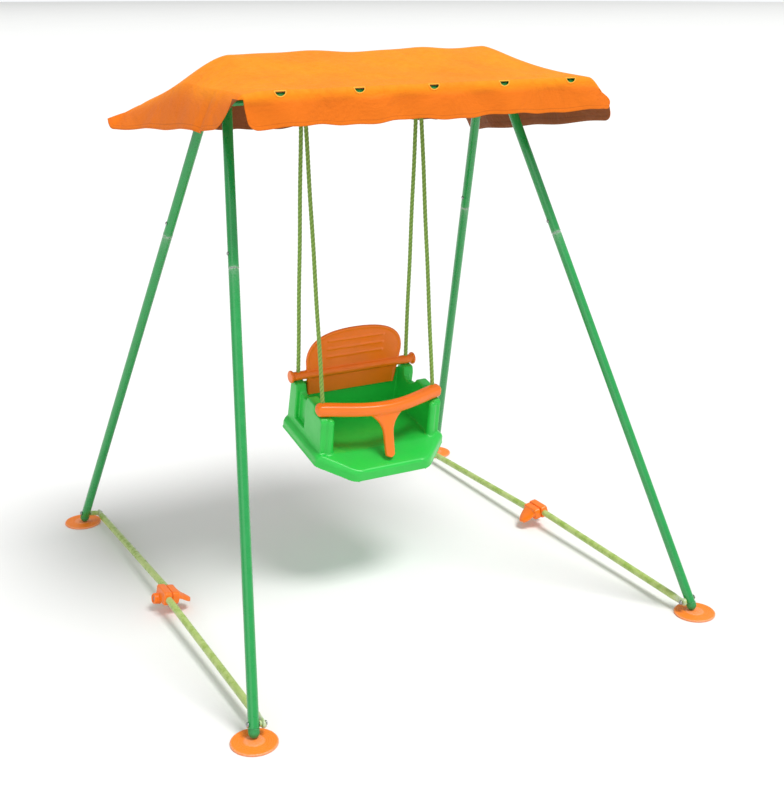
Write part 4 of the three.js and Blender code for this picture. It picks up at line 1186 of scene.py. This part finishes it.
class SWING_OT_back(Operator):
    """The back rest: a round barrel between two flanges, with a shield-shaped panel"""

    bl_idname = "swing.back"
    bl_label = "Back rest"

    def execute(self, context):
        """A turned barrel, a panel inside a cubic curve, a round lip along it and three slats."""
        place = seat_frame(context.scene.swing_sizes)
        flange = [(0, -0.189), (0.0155, -0.189), (0.017, -0.1875), (0.017, -0.183), (0.0155, -0.181),
                  (0.012, -0.18)]
        barrel = flange + [(radius, -away) for radius, away in flange[::-1]]
        centre = place([(0, 0.1, 0.13)])[0]
        pieces = [turned("barrel", barrel, centre, (1, 0, 0), "orange_moulding", 48)]
        t = np.linspace(0, 1, 24)[:, None]
        arc = ((1 - t) ** 3 * (0.14, 0.17) + 3 * t * (1 - t) ** 2 * np.array((0.14, 0.226))
               + 3 * t ** 2 * (1 - t) * np.array((0.096, 0.252)) + t ** 3 * (0.0, 0.252))
        right = np.concatenate([[(0.128, 0.066)], arc])
        outline = np.concatenate([right, (right * (-1, 1))[::-1][1:]])
        pieces.append(prism("panel", outline, 0.098, 0.103, upright(place, True), "orange_moulding", 0.0015))
        lip = np.column_stack([outline[:, 0], np.full(len(outline), 0.1005), outline[:, 1]])
        rim = place(lip)
        pieces.append(skin("lip", ring_points(rim, (0, 1, 0), 0.0046, 0.0046, 14), "orange_moulding"))
        for up in (0.172, 0.196, 0.22):
            slat = filleted([(-0.085, up), (0.085, up), (0.085, up + 0.006), (-0.085, up + 0.006)], 0.003)
            pieces.append(prism("slat", slat, 0.0965, 0.1045, upright(place, True), "orange_moulding", 0.001))
        made = moulded_together("back_panel", pieces, 0.0017, 5)
        stands_for(made, "back_rest")
        return {"FINISHED"}


class SWING_OT_ropes(Operator):
    """Two laid ropes, each one length over its ring, with a knot under the seat at both ends"""

    bl_idname = "swing.ropes"
    bl_label = "Ropes"

    def execute(self, context):
        """Each path: a straight run, a half circle over the ring, and a straight run, swayed by a sine."""
        sizes = context.scene.swing_sizes
        place = seat_frame(sizes)
        front_hole, rear_hole = place([(0, -0.058, 0.116), (0, 0.1, 0.13)])
        over = 0.0095
        ring_low = float(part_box("hanger_ring_right")[0][2]) + 2 * float(half("hanger_ring_right")[1])
        centre = ring_low - float(half("hanger_ring_right")[1])
        for side, hand in SIDES:
            x = side * HANGER
            near, far = np.array([x, -over, centre]), np.array([x, over, centre])
            front, rear = front_hole + (x, 0, 0), rear_hole + (x, 0, 0)
            start = front + (front - near) / np.linalg.norm(front - near) * 0.046
            end = rear + (rear - far) / np.linalg.norm(rear - far) * 0.042
            turn = np.linspace(pi, 0, 30)
            bend = np.column_stack([np.full(30, x), over * np.cos(turn), centre + over * np.sin(turn)])
            path = np.concatenate([np.linspace(start, near, 660)[:-1], bend, np.linspace(far, end, 620)[1:]])
            path[:, 0] += 0.0004 * np.sin(path[:, 2] * 23 + side)
            made = self.laid(f"laid_rope_{hand}", path, sizes)
            knots = [self.knot(start, near - front, sizes), self.knot(end, far - rear, sizes)]
            stands_for(merged(f"laid_rope_{hand}", [made, *knots]), f"rope_{hand}")
        return {"FINISHED"}

    def laid(self, name, path, sizes, sides=27):
        """Three strands: the radius swells three times round, and the swelling turns along the rope."""
        run = np.concatenate([[0], np.cumsum(np.linalg.norm(np.diff(path, axis=0), axis=1))])
        side, up = carried(path, np.array([1.0, 0.0, 0.0]))
        angle = np.linspace(0, 2 * pi, sides, endpoint=False)
        strand = np.abs(np.cos(1.5 * (angle[None, :] - 2 * pi * run[:, None] / sizes.rope_twist))) ** 0.8
        radius = sizes.rope_radius * (0.84 + 0.17 * strand)
        rings = path[:, None] + radius[..., None] * (np.cos(angle)[None, :, None] * side[:, None]
                                                     + np.sin(angle)[None, :, None] * up[:, None])
        flat = np.stack([np.broadcast_to(angle[None, :] / (2 * pi) * 0.035, strand.shape),
                         np.broadcast_to(run[:, None], strand.shape)], -1)
        # The strand attribute also sets the painted shade in the grooves.
        return skin(name, rings, "rope_cord", strand=0.62 * strand - 0.12, uv=flat)

    def knot(self, centre, way, sizes):
        """A stopper knot: two wraps of rope, one over the other, round the rope's end."""
        way = way / np.linalg.norm(way)
        side = np.array([1.0, 0.0, 0.0])
        up = np.cross(way, side)
        turn = np.linspace(0, 4.2 * pi, 150)
        wrap = (centre + 0.0038 * (np.cos(turn)[:, None] * side + np.sin(turn)[:, None] * up)
                + ((turn / turn[-1] - 0.5) * 0.012)[:, None] * way)
        return self.laid("knot", wrap, sizes, 21)


# ---- Canopy --------------------------------------------------------------------
ROOF_Y = 0.358
FOLD = 0.01
GABLE_FLARE = 0.05
ARCH_TOP = 1.364
ARCH_Y = 0.345
SLOT_PLACES = (-0.38, -0.19, 0.0, 0.19, 0.38)
SLOT_HALF = 0.0135
SLOT_DROP = 0.0118
SLOT_TOP = 1.3492
BINDING_RADIUS = 0.0013


def fold_height(sizes, y):
    """Height of the roof's own edge: high over the arms' middle, then down to each eave."""
    front = np.minimum(1, np.clip(-y / ARCH_Y, 0, None) ** 1.4)
    rear = np.minimum(1, np.clip(y / ARCH_Y, 0, None) ** 1.1)
    arch = ARCH_TOP - sizes.eave_gap
    return ARCH_TOP - (arch - EAVE_FRONT[2]) * front - (arch - EAVE_REAR[2]) * rear


def roof_height(sizes, x, y):
    """The edge height, a crown over the crossbar, crests over the hangers, and shallow pulled wrinkles.

    Past the arms the roof rolls over by the square of the distance. Both eave folds are quarter rounds."""
    across = np.abs(x)
    crown = 0.043 * (1 - ease(0, ARCH_Y, np.abs(y - 0.025))) * (1 - ease(0.35, 0.466, across))
    crest = 0.003 * np.exp(-((across - 0.165) / 0.055) ** 2) - 0.003 * np.exp(-(x / 0.08) ** 2)
    crest = crest * np.exp(-((y - 0.01) / 0.09) ** 2)
    inside = (1 - ease(0.36, 0.45, across)) * (1 - ease(0.27, ARCH_Y, np.abs(y)))
    pulled = 0.0013 * np.sin(23 * x + 6 * np.sin(5 * y + 1)) * np.sin(11 * y + 2 * x + 0.6)
    pulled += 0.0008 * np.sin(41 * x - 23 * y + 3 * np.sin(9 * y)) + 0.0006 * np.sin(37 * y + 12 * x + 2)
    sag = -0.004 * np.sin(np.clip(np.abs(y) / ARCH_Y, 0, 1) * pi) ** 2
    sag = sag * (0.6 + 0.4 * np.cos(x * 2 * pi / 0.37))
    roll = (0.014 - 0.009 * ease(0.1, ROOF_Y, np.abs(y))) * (np.clip(across - 0.4, 0, None) / 0.06) ** 2
    droop = 0.018 * (np.clip(x - 0.44, 0, None) / 0.026) ** 1.5 * (1 - ease(-0.35, -0.15, y))
    depth = np.clip(FOLD - (ROOF_Y - np.abs(y)), 0, FOLD)
    fold = FOLD - np.sqrt(FOLD ** 2 - depth ** 2)
    return fold_height(sizes, y) + crown + crest + inside * (pulled + sag) - roll - droop - fold


def corner(distance, radius):
    """Rise of a hem at a rounded corner: a quarter circle over the last part of the edge."""
    share = np.clip(distance / radius, 0, 1)
    return radius * (1 - np.sqrt(np.clip(1 - share ** 2, 0, 1)))


def gable_hem(sizes, side, y):
    """Where a gable flap's hem hangs: it flares to the rear, and the right one hangs lower than the left."""
    left = side < 0
    reach = sizes.eave_half + GABLE_FLARE + 0.034 * ease(0.15, 0.35, y) * np.where(left, 1, 0.5)
    reach = reach + 0.0035 * np.sin(y * 2 * pi / 0.31 + side) + 0.0015 * np.sin(y * 2 * pi / 0.12 + 1)
    level = np.where(left, 1.241 - 0.092 * y, 1.195 - 0.135 * y)
    level = level + 0.002 * np.sin(y * 2 * pi / 0.24 + 2 * side)
    radius = np.where(left, 0.062, 0.034)
    rise = corner(radius - ROOF_Y - y, radius)
    level, reach = level + rise, reach - 0.4 * rise
    level = level + corner(y - np.where(left, 0.333, 0.32), np.where(left, 0.025, 0.038))
    crease = np.exp(-((y + 0.205) / 0.016) ** 2) * left
    return reach - 0.012 * crease, level - 0.006 * crease


def canopy_surface(sizes):
    """The canopy as a cross of grid cells: a roof, and four flaps with rounded, wavy hems.

    An eave flap's point is its fold point moved down by its share of the drop, with waves that grow towards
    the hem. A gable flap's point lies on a quadratic curve from the roof's edge to its hem."""
    half_x = sizes.eave_half
    drop = np.linspace(0, 1, 27)
    bend = np.linspace(0, 1, 6)[1:] * 0.014
    across = np.linspace(-half_x, half_x, 291)
    along = np.concatenate([-ROOF_Y + np.concatenate([[0], bend]), np.linspace(-0.338, 0.338, 97),
                            (ROOF_Y - np.concatenate([[0], bend]))[::-1]])
    u = np.concatenate([-1 - drop[:0:-1], across / half_x, 1 + drop[1:]])
    v = np.concatenate([-1 - drop[:0:-1], along / ROOF_Y, 1 + drop[1:]])
    u, v = np.meshgrid(u, v)
    x, y = np.clip(u, -1, 1) * half_x, np.clip(v, -1, 1) * ROOF_Y
    out_x, out_y = np.clip(np.abs(u) - 1, 0, 1), np.clip(np.abs(v) - 1, 0, 1)
    side, end = np.sign(u), np.sign(v)
    z = roof_height(sizes, x, y)
    fall = np.where(v < 0, sizes.flap_front, sizes.flap_rear) - FOLD
    low = fall - corner(np.abs(x) - half_x + 0.036, 0.036)
    low = low + 0.0028 * np.sin(x * 2 * pi / 0.262 + 1.9 + v) + 0.0012 * np.sin(x * 2 * pi / 0.087)
    low = low - 0.024 * ease(0.2, 0.45, -x) * (v > 0)
    wave = 0.012 * np.sin(x * 2 * pi / 0.19 + 0.4) + 0.003 * np.sin(x * 2 * pi / 0.113 + 2 * v)
    swing = wave * out_y ** 0.8 * (1 - 0.5 * out_y) * ease(0.02, 0.3, out_y)
    eave_x = x - side * 0.007 * out_y * (np.abs(x) / half_x) ** 12
    eave_x = eave_x + 0.04 * ease(0.36, half_x, x) * np.sin(out_y * pi / 2) * (v < 0)
    hem_x, hem_z = gable_hem(sizes, side, y)
    turn_x = half_x + 0.42 * (hem_x - half_x)
    turn_z = z - 0.24 * (z - hem_z)
    gable_x = (1 - out_x) ** 2 * half_x + 2 * out_x * (1 - out_x) * turn_x + out_x ** 2 * hem_x
    gable_z = (1 - out_x) ** 2 * z + 2 * out_x * (1 - out_x) * turn_z + out_x ** 2 * hem_z
    is_gable = out_x > 0
    x = np.where(is_gable, side * gable_x, eave_x)
    z = np.where(is_gable, gable_z, z - out_y * low)
    y = np.where(is_gable, y * (1 - 0.012 * out_x * np.abs(y) / ROOF_Y), y + end * (0.003 * out_y + swing))
    keep = (out_x <= 0) | (out_y <= 0)
    edge = np.minimum(np.where(out_x > 0, (1 - out_x) * 0.11, 1), np.where(out_y > 0, (1 - out_y) * fall, 1))
    # Painted shade mask: 0 on the roof, rising to 1 down the flaps.
    flap_shade = np.maximum(ease(0, 0.3, out_y), ease(0, 0.6, out_x))
    return np.stack([x, y, z], -1), keep, {"hem": edge, "flap_shade": flap_shade}, np.stack([u * half_x, v * ROOF_Y], -1)


class SWING_OT_canopy(Operator):
    """The canopy cloth: one sheet over the eave tubes, with half-moon slots and bound edges"""

    bl_idname = "swing.canopy"
    bl_label = "Canopy"

    def execute(self, context):
        """Thickens the canopy's grid inwards, cuts the half-moon slots, and binds their edges."""
        sizes = context.scene.swing_sizes
        grid, keep, marks, flat = canopy_surface(sizes)
        faces = np.array(grid_faces(*keep.shape))
        faces = faces[keep.ravel()[faces].all(1)]
        used, index = np.unique(faces, return_inverse=True)
        marks = {key: mark.ravel()[used] for key, mark in marks.items()}
        cloth = new_piece("cloth_canopy", grid.reshape(-1, 3)[used], index.reshape(-1, 4).tolist(),
                          "canopy_cloth", uv=flat.reshape(-1, 2)[used], **marks)
        # The inner face of the thickened cloth takes the darker underside material, painted shade.
        cloth.data.materials.append(finish("painted_shade_underside"))
        shell = cloth.modifiers.new("Solidify", "SOLIDIFY")
        shell.thickness = sizes.cloth
        shell.offset = -1
        shell.material_offset = 1
        settle(cloth)
        cutter = merged("slot_cutter", [self.half_moon(x) for x in SLOT_PLACES])
        cut = cloth.modifiers.new("Slots", "BOOLEAN")
        cut.operation = "DIFFERENCE"
        cut.solver = "EXACT"
        cut.object = cutter
        settle(cloth)
        bpy.data.objects.remove(cutter)
        bound = merged("slot_bindings", [self.binding(x, sizes) for x in SLOT_PLACES])
        goes_with(bound, "canopy")
        stands_for(cloth, "canopy")
        return {"FINISHED"}

    def outline(self, x):
        """A half disc with its flat side up, in the plane of the flap."""
        turn = np.linspace(pi, 2 * pi, 40)
        return np.column_stack([x + SLOT_HALF * np.cos(turn), SLOT_TOP + SLOT_DROP * np.sin(turn)])

    def half_moon(self, x):
        """The half disc as a block across the fold."""
        def place(points):
            """Stands the outline upright, facing front."""
            return np.column_stack([points[:, 0], points[:, 2], points[:, 1]])

        return prism("slot", self.outline(x), -0.39, -0.34, place, "painted_shade_underside", 0.0001)

    def binding(self, x, sizes):
        """A thin bound edge: circles swept round the half disc, set back over the quarter round fold."""
        edge = self.outline(x)
        flat_side = np.linspace(edge[-1], edge[0], 16)[1:-1]
        loop = np.concatenate([edge, flat_side])
        level = EAVE_FRONT[2] + sizes.eave_gap - FOLD
        rise = np.clip(loop[:, 1] - level, 0, FOLD)
        depth = -ROOF_Y + FOLD - np.sqrt(FOLD ** 2 - rise ** 2) - 0.0002
        path = np.column_stack([loop[:, 0], depth, loop[:, 1]])
        around = np.roll(path, -1, 0) - np.roll(path, 1, 0)
        around /= np.linalg.norm(around, axis=1, keepdims=True)
        out = np.cross(around, np.array([0.0, 1.0, 0.0]))
        out /= np.linalg.norm(out, axis=1, keepdims=True)
        over = np.cross(around, out)
        angle = np.linspace(0, 2 * pi, 10, endpoint=False)
        rings = path[:, None] + BINDING_RADIUS * (np.cos(angle)[None, :, None] * out[:, None]
                                                  + np.sin(angle)[None, :, None] * over[:, None])
        return skin("binding", rings, "binding", True)


# ---- Stage -----------------------------------------------------------------------
FLOOR_NEAR = 8.0
FLOOR_FAR = 80.0
FLOOR_DROP = 0.0002
CAMERA_PLACE = (-1.506, -2.916, 1.586)
CAMERA_DOWN = 18.466
CAMERA_TURN = -28.627
CAMERA_LENS = 57.43


class SWING_OT_stage(Operator):
    """A flat pale floor, soft lights, and the camera"""

    bl_idname = "swing.stage"
    bl_label = "Stage"

    def execute(self, context):
        """Turns a wide flat slab for the floor, its top just under the discs, then adds lights and camera."""
        profile = [(0, -FLOOR_DROP), (FLOOR_NEAR, -FLOOR_DROP), (FLOOR_FAR, -FLOOR_DROP), (FLOOR_FAR, -0.05),
                   (0, -0.05)]
        floor = turned("studio_floor", profile, (0, 0, 0), (0, 0, 1), "floor", 96)
        lights = [self.light("high", (1.1, -1.9, 5.0), radians(22), 2.3),
                  self.light("fill", (-4.0, -3.6, 2.4), radians(50), 0.4)]
        context.scene.world = self.sky()
        camera = bpy.data.objects.new("Camera", bpy.data.cameras.new("Camera"))
        context.collection.objects.link(camera)
        camera.location = CAMERA_PLACE
        camera.rotation_euler = Euler((radians(90 - CAMERA_DOWN), 0, radians(CAMERA_TURN)))
        camera.data.lens = CAMERA_LENS
        context.scene.camera = camera
        context.scene.view_settings.view_transform = "Standard"
        return {"FINISHED"}

    def light(self, name, toward, spread, power):
        """A soft, distant light that shines from a direction."""
        made = bpy.data.objects.new(name, bpy.data.lights.new(name, "SUN"))
        made.data.energy = power
        made.data.angle = spread
        x, y, z = toward
        made.rotation_euler = Euler((np.arctan2(np.hypot(x, y), z), 0, np.arctan2(x, -y)))
        bpy.context.collection.objects.link(made)
        return made

    def sky(self):
        """An even pale sky: white where it is seen, and softer as a light."""
        world = bpy.data.worlds.new("Soft sky")
        world.use_nodes = True
        tree = world.node_tree
        background = tree.nodes["Background"]
        background.inputs["Color"].default_value = (0.97, 0.985, 1.0, 1.0)
        seen = tree.nodes.new("ShaderNodeLightPath")
        strength = node(tree, "ShaderNodeMapRange", To_Min=0.6, To_Max=1.0)
        tree.links.new(seen.outputs["Is Camera Ray"], strength.inputs["Value"])
        tree.links.new(strength.outputs[0], background.inputs["Strength"])
        return world


STEPS = (SWING_OT_legs, SWING_OT_discs, SWING_OT_rails, SWING_OT_knuckles, SWING_OT_tubes, SWING_OT_fixings,
         SWING_OT_brackets, SWING_OT_seat, SWING_OT_bar, SWING_OT_back, SWING_OT_ropes, SWING_OT_canopy,
         SWING_OT_stage)


class SWING_PT_panel(Panel):
    """Buttons for each piece of the swing, and its sizes and colours"""

    bl_idname = "SWING_PT_panel"
    bl_label = "Toddler Seat Swing"
    bl_space_type = "VIEW_3D"
    bl_region_type = "UI"
    bl_category = "Swing"

    def draw(self, context):
        """Lists a button for each operator, then the sizes and colours."""
        column = self.layout.column(align=True)
        for step in STEPS:
            column.operator(step.bl_idname)
        for group in (context.scene.swing_sizes, context.scene.swing_colours):
            box = self.layout.box()
            for name in group.bl_rna.properties.keys():
                if name not in ("rna_type", "name"):
                    box.prop(group, name)


CLASSES = (SwingSizes, SwingColours, *STEPS, SWING_PT_panel)


def register():
    """Registers the classes and the scene's two groups of values."""
    for each in CLASSES:
        bpy.utils.register_class(each)
    bpy.types.Scene.swing_sizes = PointerProperty(type=SwingSizes)
    bpy.types.Scene.swing_colours = PointerProperty(type=SwingColours)


def unregister():
    """Takes the classes and the scene's values away again."""
    del bpy.types.Scene.swing_colours
    del bpy.types.Scene.swing_sizes
    for each in reversed(CLASSES):
        bpy.utils.unregister_class(each)


def main():
    """Registers the add-on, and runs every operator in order."""
    register()
    for step in STEPS:
        area, name = step.bl_idname.split(".")
        if getattr(getattr(bpy.ops, area), name)() != {"FINISHED"}:
            raise RuntimeError(f"{step.bl_label} was not built")
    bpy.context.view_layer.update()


if __name__ == "__main__":
    main()
